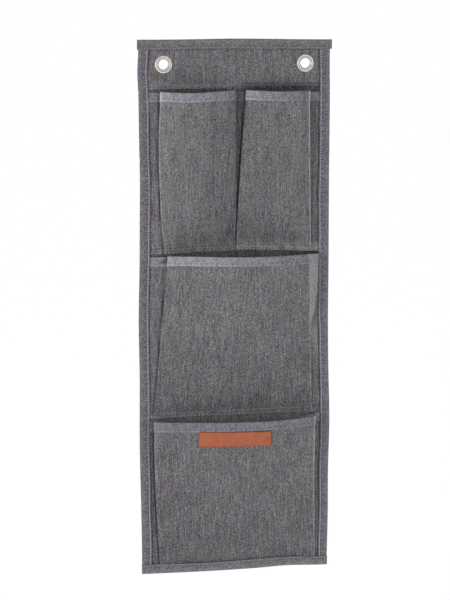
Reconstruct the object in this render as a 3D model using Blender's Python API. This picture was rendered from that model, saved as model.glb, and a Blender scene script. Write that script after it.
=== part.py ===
"""Hanging organizer: a cloth back panel bound with tape, two eyelets and four pleated pockets.

Metres, +Z up, and the front faces -Y. The origin is halfway between the centres of the two hanging
eyelets, on the back face of the back panel. Heights are counted from the bottom edge up, and
level() turns them into this frame. Every cloth layer keeps GAP to the next one.
"""

import math

import bmesh
import bpy
from mathutils import Vector

# Materials' thickness, and the clearance between neighbouring layers
CLOTH = 0.0007
TAPE = 0.0005
THREAD = 0.0004
GAP = 0.0003

# Edges
BODY_WIDTH = 0.250
EDGE_TAPE_WIDTH = 0.0125
TOP_TAPE_OVERHANG = 0.002
EDGE_SEAM_INSET = 0.0012

# Rows of the panel, from the bottom edge up
LOWER_POCKET_HEIGHT = 0.1972
MIDDLE_POCKET_HEIGHT = 0.2065
UPPER_POCKET_HEIGHT = 0.2000
MIDDLE_ROW_GAP = 0.0015
UPPER_ROW_GAP = 0.0025
FOOT_HEIGHT = 0.0075
FOOT_LAYERS = 2
FOOT_SEAM_RISE = 0.0060
HEADER_GAP = 0.0038
HEADER_HEIGHT = 0.0607
HEADER_SEAM_RISE = 0.0052

# Pockets: how far each mouth stands open at its folds, how much further it bows out between them,
# and how far each front fold lies from its side seam, at the foot and at the mouth. PLEAT_TUCK is
# how far a pleat's crease lies behind its front fold, and NOTCH_GAP opens the crease's inner corner.
LOWER_MOUTH_OPENING = 0.024
MIDDLE_MOUTH_OPENING = 0.026
UPPER_MOUTH_OPENING = 0.020
LOWER_MOUTH_BOW = 0.010
MIDDLE_MOUTH_BOW = 0.009
UPPER_MOUTH_BOW = 0.006
LOWER_FOLD_INSET = (0.0070, 0.0055)
MIDDLE_FOLD_INSET = (0.0090, 0.0200)
UPPER_OUTER_FOLD_INSET = (0.0130, 0.0150)
UPPER_INNER_FOLD_INSET = (0.0020, 0.0040)
PLEAT_TUCK = 0.018
NOTCH_GAP = 0.00003
SEAM_ALLOWANCE = 0.008
DIVIDER_HALF_WIDTH = 0.003
MOUTH_TAPE_WIDTH = 0.0125
MOUTH_SEAM_INSET = 0.0018

# Leather label on the lower pocket
LABEL_WIDTH = 0.096
LABEL_HEIGHT = 0.0195
LABEL_THICKNESS = 0.0012
LABEL_DROP = 0.0008
LABEL_EDGE_ROUND = 0.0003

# Hanging eyelets and their washers
EYELET_SIDE_INSET = 0.0325
EYELET_DROP = 0.031
EYELET_BORE_DIAMETER = 0.0126
EYELET_WALL = 0.0005
EYELET_FLANGE_DIAMETER = 0.0225
EYELET_FLANGE_HEIGHT = 0.0016
EYELET_LIP_WIDTH = 0.0016
WASHER_DIAMETER = 0.0216
WASHER_THICKNESS = 0.0005

# Fineness of round shapes
RING_STEPS = 48
DOME_STEPS = 8
FOLD_STEPS = 6
BOW_STEPS = 12
FRONT_ROWS = 5
PLEAT_ROWS = 8
LABEL_ROUND_STEPS = 2
SHARP_ANGLE = math.radians(40)
MERGE_DISTANCE = 0.000001

# Depths, from the wall side to the front. The hinge line is in the middle of the front's cloth, in
# front of both layers of a pleat that is pressed shut.
PANEL_FRONT = -CLOTH
LAYER_BACK = PANEL_FRONT - GAP
LAYER_FRONT = LAYER_BACK - CLOTH
SIDE_TAPE_FRONT = LAYER_FRONT - GAP - TAPE
SIDE_TAPE_BACK = GAP + TAPE
CROSS_TAPE_FRONT = SIDE_TAPE_FRONT - GAP - TAPE
CROSS_TAPE_BACK = SIDE_TAPE_BACK + GAP + TAPE
FOOT_FRONT = LAYER_BACK - FOOT_LAYERS * CLOTH
HINGE_DEPTH = LAYER_FRONT - 3 * GAP - 1.5 * CLOTH

# Heights above the bottom edge
LOWER_HINGE = EDGE_TAPE_WIDTH + GAP
MIDDLE_FOOT = LOWER_HINGE + LOWER_POCKET_HEIGHT + MIDDLE_ROW_GAP
MIDDLE_HINGE = MIDDLE_FOOT + FOOT_HEIGHT
UPPER_FOOT = MIDDLE_HINGE + MIDDLE_POCKET_HEIGHT + UPPER_ROW_GAP
UPPER_HINGE = UPPER_FOOT + FOOT_HEIGHT
HEADER_EDGE = UPPER_HINGE + UPPER_POCKET_HEIGHT + HEADER_GAP
BODY_HEIGHT = HEADER_EDGE + HEADER_HEIGHT

# Places across the width, from the middle, and the distance between the eyelets
PANEL_HALF = BODY_WIDTH / 2 - TAPE - GAP
SIDE_SEAM = BODY_WIDTH / 2 - EDGE_TAPE_WIDTH
EYELET_SPACING = BODY_WIDTH - 2 * EYELET_SIDE_INSET

FINISHES = {
    "cloth": ((0.16, 0.16, 0.165), 0.85, 0.0),
    "edge_tape": ((0.18, 0.17, 0.19), 0.8, 0.0),
    "mouth_tape": ((0.29, 0.28, 0.31), 0.8, 0.0),
    "nickel": ((0.83, 0.82, 0.8), 0.22, 1.0),
    "leather": ((0.5, 0.13, 0.05), 0.55, 0.0),
    "thread": ((0.45, 0.45, 0.47), 0.7, 0.0),
}


def level(height):
    """The height above the bottom edge as a Z value in the organizer's frame."""
    return height - BODY_HEIGHT + EYELET_DROP


def heights_between(low, high, steps):
    """Evenly spaced heights from low to high, both of them included."""
    return [low + (high - low) * i / steps for i in range(steps + 1)]


def clear_scene():
    for obj in list(bpy.data.objects):
        bpy.data.objects.remove(obj, do_unlink=True)


def make_material(name, finish):
    colour, roughness, metallic = FINISHES[finish]
    material = bpy.data.materials.new(name + "_finish")
    material.use_nodes = True
    shader = material.node_tree.nodes["Principled BSDF"]
    shader.inputs["Base Color"].default_value = (*colour, 1.0)
    shader.inputs["Roughness"].default_value = roughness
    shader.inputs["Metallic"].default_value = metallic
    return material


def add_piece(name, mesh_data, finish, location=(0, 0, 0), parent=None):
    """Turns the bmesh into an object with its own material, set at a place or under a parent."""
    bmesh.ops.recalc_face_normals(mesh_data, faces=mesh_data.faces)
    mesh = bpy.data.meshes.new(name)
    mesh_data.to_mesh(mesh)
    mesh_data.free()
    mesh.materials.append(make_material(name, finish))
    piece = bpy.data.objects.new(name, mesh)
    piece.location = location
    piece.parent = parent
    bpy.context.scene.collection.objects.link(piece)
    return piece


def shade_round(piece):
    piece.data.shade_smooth()
    piece.data.set_sharp_from_angle(angle=SHARP_ANGLE)


def box_mesh(low, high):
    """A block between two opposite corners."""
    low, high = Vector(low), Vector(high)
    mesh_data = bmesh.new()
    bmesh.ops.create_cube(mesh_data, size=1)
    bmesh.ops.scale(mesh_data, vec=high - low, verts=mesh_data.verts)
    bmesh.ops.translate(mesh_data, vec=(low + high) / 2, verts=mesh_data.verts)
    return mesh_data


def prism_mesh(outline, offset):
    """A flat outline of points pushed along an offset."""
    mesh_data = bmesh.new()
    face = mesh_data.faces.new([mesh_data.verts.new(point) for point in outline])
    pushed = bmesh.ops.extrude_face_region(mesh_data, geom=[face])["geom"]
    corners = [item for item in pushed if isinstance(item, bmesh.types.BMVert)]
    bmesh.ops.translate(mesh_data, vec=Vector(offset), verts=corners)
    return mesh_data


def loft_mesh(rings):
    """Rings of as many points each, joined side by side in their order and closed at both ends."""
    mesh_data = bmesh.new()
    corners = [[mesh_data.verts.new(point) for point in ring] for ring in rings]
    for ring, other in zip(corners, corners[1:]):
        following = zip(ring[1:] + ring[:1], other[1:] + other[:1])
        for (a, b), (a_next, b_next) in zip(zip(ring, other), following):
            mesh_data.faces.new((a, a_next, b_next, b))
    mesh_data.faces.new(corners[0])
    mesh_data.faces.new(corners[-1])
    return mesh_data


def ring_mesh(profile):
    """A closed (radius, depth) profile turned once round the Y axis."""
    mesh_data = bmesh.new()
    corners = [mesh_data.verts.new((radius, depth, 0)) for radius, depth in profile]
    edges = [mesh_data.edges.new((a, b)) for a, b in zip(corners, corners[1:] + corners[:1])]
    bmesh.ops.spin(
        mesh_data,
        geom=corners + edges,
        cent=(0, 0, 0),
        axis=(0, 1, 0),
        angle=2 * math.pi,
        steps=RING_STEPS,
        use_merge=True,
    )
    bmesh.ops.remove_doubles(mesh_data, verts=mesh_data.verts, dist=MERGE_DISTANCE)
    return mesh_data


def folded_tape_outline(front, back, width):
    """The cut through a tape folded over an edge: a round fold at 0 and two legs towards +width.

    Each point is (distance from the folded edge, depth), with front and back the outer faces.
    """
    middle = (front + back) / 2
    outer = abs(front - back) / 2
    inner = outer - TAPE
    turns = [math.pi / 2 + math.pi * i / FOLD_STEPS for i in range(FOLD_STEPS + 1)]
    outside = [(TAPE * (1 + math.cos(t)), middle + outer * math.sin(t)) for t in turns]
    inside = [(TAPE + GAP * (1 + math.cos(t)), middle + inner * math.sin(t)) for t in reversed(turns)]
    front_end = [(width, front), (width, front + TAPE)]
    back_end = [(width, back - TAPE), (width, back)]
    return [*outside, *front_end, *inside, *back_end]


def add_panel():
    """The back panel: one cloth, cut to lie inside the folds of the edge tapes."""
    mesh_data = box_mesh(
        (-PANEL_HALF, PANEL_FRONT, level(TAPE + GAP)),
        (PANEL_HALF, 0, level(BODY_HEIGHT - TAPE - GAP)),
    )
    return add_piece("back_panel", mesh_data, "cloth")


def add_header_facing():
    """The second layer of cloth that carries the eyelets, down to its folded lower edge."""
    mesh_data = box_mesh(
        (-PANEL_HALF, LAYER_FRONT, level(HEADER_EDGE)),
        (PANEL_HALF, LAYER_BACK, level(BODY_HEIGHT - TAPE - GAP)),
    )
    return add_piece("header_facing", mesh_data, "cloth")


def add_side_tape(name, side):
    """A tape folded over a long edge, running inside the two cross tapes."""
    outline = folded_tape_outline(SIDE_TAPE_FRONT, SIDE_TAPE_BACK, EDGE_TAPE_WIDTH)
    bottom = level(TAPE + GAP)
    length = BODY_HEIGHT - 2 * (TAPE + GAP)
    points = [(side * (BODY_WIDTH / 2 - inward), depth, 0) for inward, depth in outline]
    add_piece(name, prism_mesh(points, (0, 0, length)), "edge_tape", (0, 0, bottom))


def add_cross_tape(name, edge_height, upward, overhang):
    """A tape folded over a short edge, over the ends of the side tapes."""
    outline = folded_tape_outline(CROSS_TAPE_FRONT, CROSS_TAPE_BACK, EDGE_TAPE_WIDTH)
    half = BODY_WIDTH / 2 + overhang
    points = [(-half, depth, upward * inward) for inward, depth in outline]
    add_piece(name, prism_mesh(points, (2 * half, 0, 0)), "edge_tape", (0, 0, level(edge_height)))


def dome_profile(inner_radius, outer_radius, base, height):
    """Half an ellipse from the inner to the outer radius, bulging towards -Y."""
    middle = (inner_radius + outer_radius) / 2
    half = (outer_radius - inner_radius) / 2
    turns = [math.pi * (1 - i / DOME_STEPS) for i in range(DOME_STEPS + 1)]
    return [(middle + half * math.cos(t), base - height * math.sin(t)) for t in turns]


def add_eyelet(side_name, x):
    """A rolled flange on the front, a barrel through the cloth and a lip over the washer."""
    bore = EYELET_BORE_DIAMETER / 2
    barrel = bore + EYELET_WALL
    front = LAYER_FRONT - GAP
    lip_front = GAP + WASHER_THICKNESS + GAP
    lip_back = lip_front + EYELET_WALL
    flange = dome_profile(bore, EYELET_FLANGE_DIAMETER / 2, front, EYELET_FLANGE_HEIGHT)
    lip = [
        (barrel, front),
        (barrel, lip_front),
        (barrel + EYELET_LIP_WIDTH, lip_front),
        (barrel + EYELET_LIP_WIDTH - EYELET_WALL / 2, lip_back),
        (bore + EYELET_WALL / 2, lip_back),
        (bore, lip_front),
    ]
    shade_round(add_piece("eyelet_" + side_name, ring_mesh(flange + lip), "nickel", (x, 0, 0)))


def add_washer(side_name, x):
    """The flat ring on the wall side that the eyelet's lip is rolled over."""
    inner = EYELET_BORE_DIAMETER / 2 + EYELET_WALL + GAP
    outer = WASHER_DIAMETER / 2
    chamfer = WASHER_THICKNESS / 2
    profile = [
        (inner, GAP),
        (outer, GAP),
        (outer, GAP + chamfer),
        (outer - chamfer, GAP + WASHER_THICKNESS),
        (inner, GAP + WASHER_THICKNESS),
    ]
    shade_round(add_piece("eyelet_washer_" + side_name, ring_mesh(profile), "nickel", (x, 0, 0)))


def cut_eyelet_holes(pieces):
    """Round holes through the cloth for the barrels, cut by hidden rods."""
    radius = EYELET_BORE_DIAMETER / 2 + EYELET_WALL + GAP
    reach = abs(LAYER_FRONT) + CLOTH
    profile = [(0, -reach), (radius, -reach), (radius, reach), (0, reach)]
    for side_name, side in (("left", -1), ("right", 1)):
        centre = (side * EYELET_SPACING / 2, 0, 0)
        cutter = add_piece("hole_" + side_name, ring_mesh(profile), "cloth", centre)
        cutter.hide_render = True
        cutter.display_type = "WIRE"
        for piece in pieces:
            cut = piece.modifiers.new("hole_" + side_name, "BOOLEAN")
            cut.operation = "DIFFERENCE"
            cut.object = cutter


def add_foot(name, foot_height, rise, front):
    """The lower edge of a row of pockets, sewn flat onto the panel up to the fronts' hinge line."""
    half_width = SIDE_SEAM - GAP
    mesh_data = box_mesh((-half_width, front, 0), (half_width, LAYER_BACK, rise))
    add_piece(name, mesh_data, "cloth", (0, 0, level(foot_height)))


def add_thread(name, start, end, front):
    """A line of sewing thread from start to end, both (x, z), lying in front of a face."""
    across = THREAD / 2
    turned = abs(end[1] - start[1]) > abs(end[0] - start[0])
    spread = (across, 0) if turned else (0, across)
    mesh_data = box_mesh(
        (start[0] - spread[0], front - GAP - THREAD, start[1] - spread[1]),
        (end[0] + spread[0], front - GAP, end[1] + spread[1]),
    )
    add_piece(name, mesh_data, "thread")


def add_panel_seams():
    """The seams that hold the tapes, the header facing, the feet and the divider to the panel."""
    seam_x = SIDE_SEAM + EDGE_SEAM_INSET
    low = EDGE_TAPE_WIDTH + GAP
    high = BODY_HEIGHT - EDGE_TAPE_WIDTH - GAP
    for side_name, side in (("left", -1), ("right", 1)):
        ends = ((side * seam_x, level(low)), (side * seam_x, level(high)))
        add_thread("seam_edge_" + side_name, *ends, SIDE_TAPE_FRONT)
    cross_rows = {
        "seam_edge_bottom": (EDGE_TAPE_WIDTH - EDGE_SEAM_INSET, CROSS_TAPE_FRONT, BODY_WIDTH / 2),
        "seam_edge_top": (BODY_HEIGHT - EDGE_TAPE_WIDTH + EDGE_SEAM_INSET, CROSS_TAPE_FRONT, BODY_WIDTH / 2),
        "seam_header": (HEADER_EDGE + HEADER_SEAM_RISE, LAYER_FRONT, SIDE_SEAM),
        "seam_middle_foot": (MIDDLE_FOOT + FOOT_SEAM_RISE, FOOT_FRONT, SIDE_SEAM),
        "seam_upper_foot": (UPPER_FOOT + FOOT_SEAM_RISE, FOOT_FRONT, SIDE_SEAM),
    }
    for name, (height, front, reach) in cross_rows.items():
        add_thread(name, (GAP - reach, level(height)), (reach - GAP, level(height)), front)
    top = UPPER_HINGE + UPPER_POCKET_HEIGHT - MOUTH_TAPE_WIDTH
    add_thread("seam_divider", (0, level(UPPER_HINGE + GAP)), (0, level(top)), LAYER_FRONT)


class Pocket:
    """One pocket: its side seams, its front folds and the hinge line along its foot."""

    def __init__(self, name, hinge, height, opening, bow, seams, insets):
        self.name = name
        self.hinge = level(hinge)
        self.height = height
        self.bow = bow
        self.tilt = math.asin(opening / height)
        self.seams = seams
        self.insets = insets
        self.drop = math.cos(self.tilt)

    def fold_x(self, side, share):
        """The front fold's x on side 0 (left) or 1 (right), at a share of the pocket's height."""
        foot, mouth = self.insets[side]
        inward = 1 - 2 * side
        return self.seams[side] + inward * (foot + (mouth - foot) * share)

    def front_back_face(self, z):
        """The depth of the front's back face at a height z."""
        return HINGE_DEPTH + CLOTH / 2 / self.drop - (z - self.hinge) * math.tan(self.tilt)

    def pleat_ring(self, side, z, thickness, behind, allowance):
        """The cut through a pleat at height z, as a ring of points.

        The pleat leaves the side seam, runs inwards to its hidden crease, and comes back out to the
        front fold, behind the front's back face by GAP and what lies there. The front layer is
        PLEAT_TUCK long and the back layer is longer by the fold's inset, so that both lie flat when
        the pocket is pressed shut. The crease is where circles of those radii meet.
        """
        inward = Vector((1 - 2 * side, 0))
        share = (z - self.hinge) / (self.height * self.drop)
        half = thickness / 2
        seam = Vector((self.seams[side], LAYER_BACK - half))
        seam += inward * (GAP + (half if allowance == 0 else 0))
        fold = Vector((self.fold_x(side, share), self.front_back_face(z) + GAP + behind + half))
        fold += inward * half
        span = fold - seam
        along = span.normalized()
        across = Vector((-along.y, along.x))
        if across.dot(inward) < 0:
            across.negate()
        back_length = PLEAT_TUCK + abs(span.x)
        reach = (back_length**2 - PLEAT_TUCK**2 + span.length_squared) / (2 * span.length)
        crease = seam + along * reach + across * math.sqrt(back_length**2 - reach**2)
        back_leg = (crease - seam).normalized()
        front_leg = (fold - crease).normalized()
        back_side = self.away_from(back_leg, seam, fold) * half
        front_side = self.away_from(front_leg, fold, seam) * half
        opened = math.acos(max(-1.0, min(1.0, back_leg.dot(-front_leg))))
        notch = (half + NOTCH_GAP) / math.tan(opened / 2)
        tip = back_leg * half
        start = seam - inward * allowance
        ring = [
            start + Vector((0, half)),
            seam + Vector((0, half)),
            crease + back_side + tip,
            crease + front_side + tip,
            fold + front_side,
            fold - front_side,
            crease + front_leg * notch - front_side,
            crease - back_leg * notch - back_side,
            seam - back_side,
            start - Vector((0, half)),
        ]
        if allowance == 0:
            ring = [seam + back_side, *ring[2:9]]
        return [(point.x, point.y, z) for point in ring]

    @staticmethod
    def away_from(leg, start, other):
        """The unit normal of a leg that points away from a point."""
        normal = Vector((-leg.y, leg.x))
        return normal if normal.dot(other - start) < 0 else -normal

    def on_front(self, x, depth, z):
        """A point on the bowed front: the bow grows with height, and is an arch across the front."""
        share = z / self.height
        left, right = self.fold_x(0, share), self.fold_x(1, share)
        across = (x - left) / (right - left)
        return (x, depth - self.bow * share * 4 * across * (1 - across), z)

    def bowed_band(self, profile, left, right):
        """A closed (depth, height) profile carried over the front's bow, from left(z) to right(z)."""
        rings = []
        for i in range(BOW_STEPS + 1):
            across = i / BOW_STEPS
            rings.append(
                [self.on_front(left(z) + (right(z) - left(z)) * across, depth, z) for depth, z in profile]
            )
        return loft_mesh(rings)

    def add_bar(self, name, finish, reach, heights, depths, pivot):
        """A bar or strip that lies on the front, between two x, two heights and two depths."""
        low, high = heights
        back, front = depths
        profile = [(back, low), (back, high), (front, high), (front, low)]
        band = self.bowed_band(profile, lambda z: reach[0], lambda z: reach[1])
        return add_piece(name, band, finish, parent=pivot)

    def add_hinge(self):
        """An empty on the hinge line, tilted as the pocket's front is."""
        pivot = bpy.data.objects.new(self.name + "_hinge", None)
        pivot.location = (0, HINGE_DEPTH, self.hinge)
        pivot.rotation_euler = (self.tilt, 0, 0)
        bpy.context.scene.collection.objects.link(pivot)
        return pivot

    def add_front(self, pivot):
        """The cloth between the pocket's two front folds."""
        half = CLOTH / 2
        rows = heights_between(GAP, self.height - TAPE - GAP, FRONT_ROWS)
        profile = [(half, z) for z in rows] + [(-half, z) for z in reversed(rows)]
        cloth = self.bowed_band(
            profile,
            lambda z: self.fold_x(0, z / self.height),
            lambda z: self.fold_x(1, z / self.height),
        )
        add_piece(self.name + "_front", cloth, "cloth", parent=pivot)

    def add_mouth_tape(self, pivot):
        """The tape folded over the front's top edge, and the thread that holds it."""
        outer = CLOTH / 2 + GAP + TAPE
        cut = folded_tape_outline(-outer, outer, MOUTH_TAPE_WIDTH)
        left, right = self.fold_x(0, 1), self.fold_x(1, 1)
        folded = [(depth, self.height - inward) for inward, depth in cut]
        tape = self.bowed_band(folded, lambda z: left, lambda z: right)
        add_piece(self.name + "_mouth_tape", tape, "mouth_tape", parent=pivot)
        seam = self.height - MOUTH_TAPE_WIDTH + MOUTH_SEAM_INSET
        self.add_bar(
            "seam_" + self.name + "_mouth",
            "thread",
            (left + GAP, right - GAP),
            (seam - THREAD / 2, seam + THREAD / 2),
            (-outer - GAP, -outer - GAP - THREAD),
            pivot,
        )

    def add_pleats(self):
        """The two side pleats, and the mouth tape's ends that run over them."""
        foot = self.hinge + GAP
        mouth = self.hinge + self.height * self.drop
        tape_edge = mouth - MOUTH_TAPE_WIDTH
        bound = CLOTH + 2 * TAPE
        for side, side_name in enumerate(("left", "right")):
            at_edge = abs(self.seams[side]) == SIDE_SEAM
            sewn = SEAM_ALLOWANCE if at_edge else DIVIDER_HALF_WIDTH
            rows = heights_between(foot, tape_edge - GAP, PLEAT_ROWS)
            rings = [self.pleat_ring(side, z, CLOTH, 0, sewn) for z in rows]
            add_piece(f"{self.name}_pleat_{side_name}", loft_mesh(rings), "cloth")
            rings = [self.pleat_ring(side, z, bound, GAP + TAPE, 0) for z in (tape_edge, mouth)]
            add_piece(f"{self.name}_pleat_tape_{side_name}", loft_mesh(rings), "mouth_tape")


def add_label(pocket, pivot):
    """The plain leather label, just under the lower pocket's mouth tape."""
    top = LOWER_POCKET_HEIGHT - MOUTH_TAPE_WIDTH - LABEL_DROP
    front = -CLOTH / 2 - GAP
    label = pocket.add_bar(
        "leather_label",
        "leather",
        (-LABEL_WIDTH / 2, LABEL_WIDTH / 2),
        (top - LABEL_HEIGHT, top),
        (front, front - LABEL_THICKNESS),
        pivot,
    )
    rounding = label.modifiers.new("edge_round", "BEVEL")
    rounding.width = LABEL_EDGE_ROUND
    rounding.segments = LABEL_ROUND_STEPS


def make_pockets():
    """The two upper pockets beside each other, the middle one and the lower one."""
    outer = (-SIDE_SEAM, SIDE_SEAM)
    upper_outer, upper_inner = UPPER_OUTER_FOLD_INSET, UPPER_INNER_FOLD_INSET
    upper = (UPPER_HINGE, UPPER_POCKET_HEIGHT, UPPER_MOUTH_OPENING, UPPER_MOUTH_BOW)
    middle = (MIDDLE_HINGE, MIDDLE_POCKET_HEIGHT, MIDDLE_MOUTH_OPENING, MIDDLE_MOUTH_BOW)
    lower = (LOWER_HINGE, LOWER_POCKET_HEIGHT, LOWER_MOUTH_OPENING, LOWER_MOUTH_BOW)
    left_seams = (-SIDE_SEAM, -DIVIDER_HALF_WIDTH)
    right_seams = (DIVIDER_HALF_WIDTH, SIDE_SEAM)
    return [
        Pocket("upper_left_pocket", *upper, left_seams, (upper_outer, upper_inner)),
        Pocket("upper_right_pocket", *upper, right_seams, (upper_inner, upper_outer)),
        Pocket("middle_pocket", *middle, outer, (MIDDLE_FOLD_INSET, MIDDLE_FOLD_INSET)),
        Pocket("lower_pocket", *lower, outer, (LOWER_FOLD_INSET, LOWER_FOLD_INSET)),
    ]


def main():
    clear_scene()
    panel = add_panel()
    facing = add_header_facing()
    cut_eyelet_holes([panel, facing])
    for side_name, side in (("left", -1), ("right", 1)):
        add_side_tape("edge_tape_" + side_name, side)
        add_eyelet(side_name, side * EYELET_SPACING / 2)
        add_washer(side_name, side * EYELET_SPACING / 2)
    add_cross_tape("edge_tape_bottom", 0, 1, 0)
    add_cross_tape("edge_tape_top", BODY_HEIGHT, -1, TOP_TAPE_OVERHANG)
    add_foot("lower_pocket_foot", TAPE + GAP, EDGE_TAPE_WIDTH - TAPE - GAP, LAYER_FRONT)
    add_foot("middle_pocket_foot", MIDDLE_FOOT, FOOT_HEIGHT, FOOT_FRONT)
    add_foot("upper_pocket_foot", UPPER_FOOT, FOOT_HEIGHT, FOOT_FRONT)
    add_panel_seams()
    for pocket in make_pockets():
        pivot = pocket.add_hinge()
        pocket.add_front(pivot)
        pocket.add_mouth_tape(pivot)
        pocket.add_pleats()
        if pocket.name == "lower_pocket":
            add_label(pocket, pivot)


main()
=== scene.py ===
"""The looks of the hanging organizer: cloth panel, four pleated pockets, tapes, eyelets and label.

Metres, +Z up, front towards -Y, in the CAD model's frame. Every cloth is a numpy surface: a grid of
points on its middle, which is then given its thickness. Each cloth carries a UV map named flat, in
metres along the cloth as it was cut, and the weave follows it. The painted light and shade beside its
folds, seams and hem edges, and the lighter worn folds and edges, are an attribute named wear.
"""

import math

import bmesh
import bpy
import numpy as np
from mathutils import Matrix, Vector


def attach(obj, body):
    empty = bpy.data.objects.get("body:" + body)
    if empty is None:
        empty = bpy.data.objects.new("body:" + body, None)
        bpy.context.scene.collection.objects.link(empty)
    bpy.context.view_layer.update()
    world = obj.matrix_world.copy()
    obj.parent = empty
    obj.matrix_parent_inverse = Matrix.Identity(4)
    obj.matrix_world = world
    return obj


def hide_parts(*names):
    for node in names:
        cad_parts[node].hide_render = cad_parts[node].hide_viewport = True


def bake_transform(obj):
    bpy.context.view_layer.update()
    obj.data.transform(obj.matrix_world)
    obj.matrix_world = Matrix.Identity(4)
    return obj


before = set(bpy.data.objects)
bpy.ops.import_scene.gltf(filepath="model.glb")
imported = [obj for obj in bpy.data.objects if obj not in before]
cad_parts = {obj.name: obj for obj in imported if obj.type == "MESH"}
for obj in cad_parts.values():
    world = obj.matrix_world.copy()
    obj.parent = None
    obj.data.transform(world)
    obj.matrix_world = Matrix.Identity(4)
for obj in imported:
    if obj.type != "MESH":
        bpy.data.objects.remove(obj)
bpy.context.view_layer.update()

# Materials' thickness, the clearance between layers, and a yarn's width
CLOTH = 0.0007
TAPE = 0.0005
GAP = 0.0003
HEM_THICKNESS = 0.0012
YARN = 0.00055

# The panel's outline and layers, the same as the CAD model's
BODY_HALF = 0.125
TOP = 0.031
BOTTOM = -0.669
TAPE_WIDTH = 0.0125
SIDE_SEAM = 0.1125
LAYER_BACK = -CLOTH - GAP
LAYER_FRONT = LAYER_BACK - CLOTH
SIDE_TAPE_FRONT = LAYER_FRONT - GAP - TAPE
SIDE_TAPE_BACK = GAP + TAPE
CROSS_TAPE_FRONT = SIDE_TAPE_FRONT - GAP - TAPE
CROSS_TAPE_BACK = SIDE_TAPE_BACK + GAP + TAPE
EDGE_SEAM_INSET = 0.0020
HEADER_EDGE = -0.0318
HEADER_SEAM = -0.0272
EYELET_X = 0.0925
EYELET_WINDOW = 0.0115
EYELET_HOLE = 0.0071
EYELET_SHIFTS = {-1: (0.0006, -0.0005), 1: (-0.0001, 0.0005)}
SIDES = (("left", -1), ("right", 1))

# Seams: how far in they lie, where they start, and their spacings
MOUTH_SEAM_INSET = 0.0034
PUCKER_INSET = 0.0043
HOLES_INSET = EDGE_SEAM_INSET + 0.0008
SEAM_START = 0.0006
SEAM_PRESS = 0.00018
SEAM_LOW = BOTTOM + TAPE_WIDTH + SEAM_START
EDGE_PITCH = (TOP - BOTTOM - 2 * TAPE_WIDTH - 2 * SEAM_START) / 185
CROSS_REACH = {"bottom": 34 * EDGE_PITCH, "top": 34.5 * EDGE_PITCH}
PUCKER_PITCH = 0.00615
MOUTH_PITCH = 0.0066
STITCH_PITCH = 0.0036
HEM_PITCH = 0.0048

# Pockets: hems, pleats, the band under a mouth tape, and the stations along one side's cloth
HEM_WIDTH = 0.007
FOOT_DROP = 0.0075
PRESSED_DEPTH = LAYER_BACK - CLOTH / 2
PLEATS_DEPTH = 0.0015
PLEAT_TUCK = 0.018
BAND_TOP = 0.0012
BAND_CUT = 0.0009
BAND_ROWS = 30
FLAP_STEPS, BACK_STEPS, CREASE_STEPS, LEG_STEPS, FOLD_STEPS = 4, 14, 8, 12, 10
FOLD_HALF = FOLD_STEPS // 2
SIDE_STEPS = FLAP_STEPS + BACK_STEPS + CREASE_STEPS + LEG_STEPS + FOLD_STEPS
APEX = SIDE_STEPS - FOLD_HALF


def place_camera():
    """The camera of the photograph: 110 mm lens on a frame 36 mm high, turned and tilted."""
    yaw, pitch, roll = math.radians(10.092), math.radians(-8.42), math.radians(-0.06)
    forward = Vector((math.sin(yaw) * math.cos(pitch), math.cos(yaw) * math.cos(pitch), math.sin(pitch)))
    level_right = Vector((math.cos(yaw), -math.sin(yaw), 0.0))
    level_up = level_right.cross(forward)
    right = math.cos(roll) * level_right + math.sin(roll) * level_up
    up = math.cos(roll) * level_up - math.sin(roll) * level_right
    data = bpy.data.cameras.new("camera")
    data.sensor_fit = "VERTICAL"
    data.sensor_height = 36.0
    data.lens = 110.0
    data.clip_end = 50.0
    camera = bpy.data.objects.new("camera", data)
    bpy.context.scene.collection.objects.link(camera)
    turned = Matrix((right, up, -forward)).transposed().to_4x4()
    camera.matrix_world = Matrix.Translation((-0.4278, -2.3291, 0.0444)) @ turned
    bpy.context.scene.camera = camera


place_camera()


def bump(values, centre, width):
    """A bell of height 1 at the centre."""
    return np.exp(-(((values - centre) / width) ** 2))


def ramp(values, low, high):
    """0 below low, 1 above high, and a smooth step between them."""
    share = np.clip((values - low) / (high - low), 0.0, 1.0)
    return share * share * (3.0 - 2.0 * share)


def settle(points):
    """The cloth's slight unevenness, the same for every layer at one place.

    Sideways, each edge moves by a sum of bells along its height and the cloth between them shares the
    two moves. Up and down, the top and bottom edges move by bells across. In depth, two slow sines.
    """
    x, z = points[..., 0].copy(), points[..., 2].copy()
    left = -1.3 * bump(z, -0.012, 0.02) + 0.8 * bump(z, -0.150, 0.05) - 2.0 * bump(z, -0.335, 0.06)
    left += -1.9 * bump(z, -0.490, 0.09)
    right = -0.6 * bump(z, -0.190, 0.09) - 0.4 * bump(z, -0.330, 0.05) - 0.6 * bump(z, 0.0, 0.03)
    right += 2.5 * bump(z, -0.475, 0.06) + 1.2 * bump(z, -0.590, 0.05)
    share = (x + BODY_HALF) / (2 * BODY_HALF)
    top = 1.2 * bump(x, 0.005, 0.06) - 0.35
    bottom = -0.6 * bump(x, -0.05, 0.05) + 1.8 * bump(x, 0.070, 0.032)
    moved = points.copy()
    moved[..., 0] += 0.001 * (left * (1 - share) + right * share)
    moved[..., 2] += 0.001 * (top * ramp(z, -0.05, TOP) + bottom * ramp(-z, 0.60, -BOTTOM))
    moved[..., 1] += 0.0006 * np.sin(9.0 * z + 4.0 * x) + 0.0004 * np.sin(31.0 * z - 17.0 * x + 1.0)
    return moved


def unit(vectors):
    return vectors / np.maximum(np.linalg.norm(vectors, axis=-1, keepdims=True), 1e-12)


def pack(*parts):
    """Points from their coordinates, each stretched to the shape that they share."""
    return np.stack(np.broadcast_arrays(*parts), axis=-1)


def between(first, last, share):
    return first * (1 - share) + last * share


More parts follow.
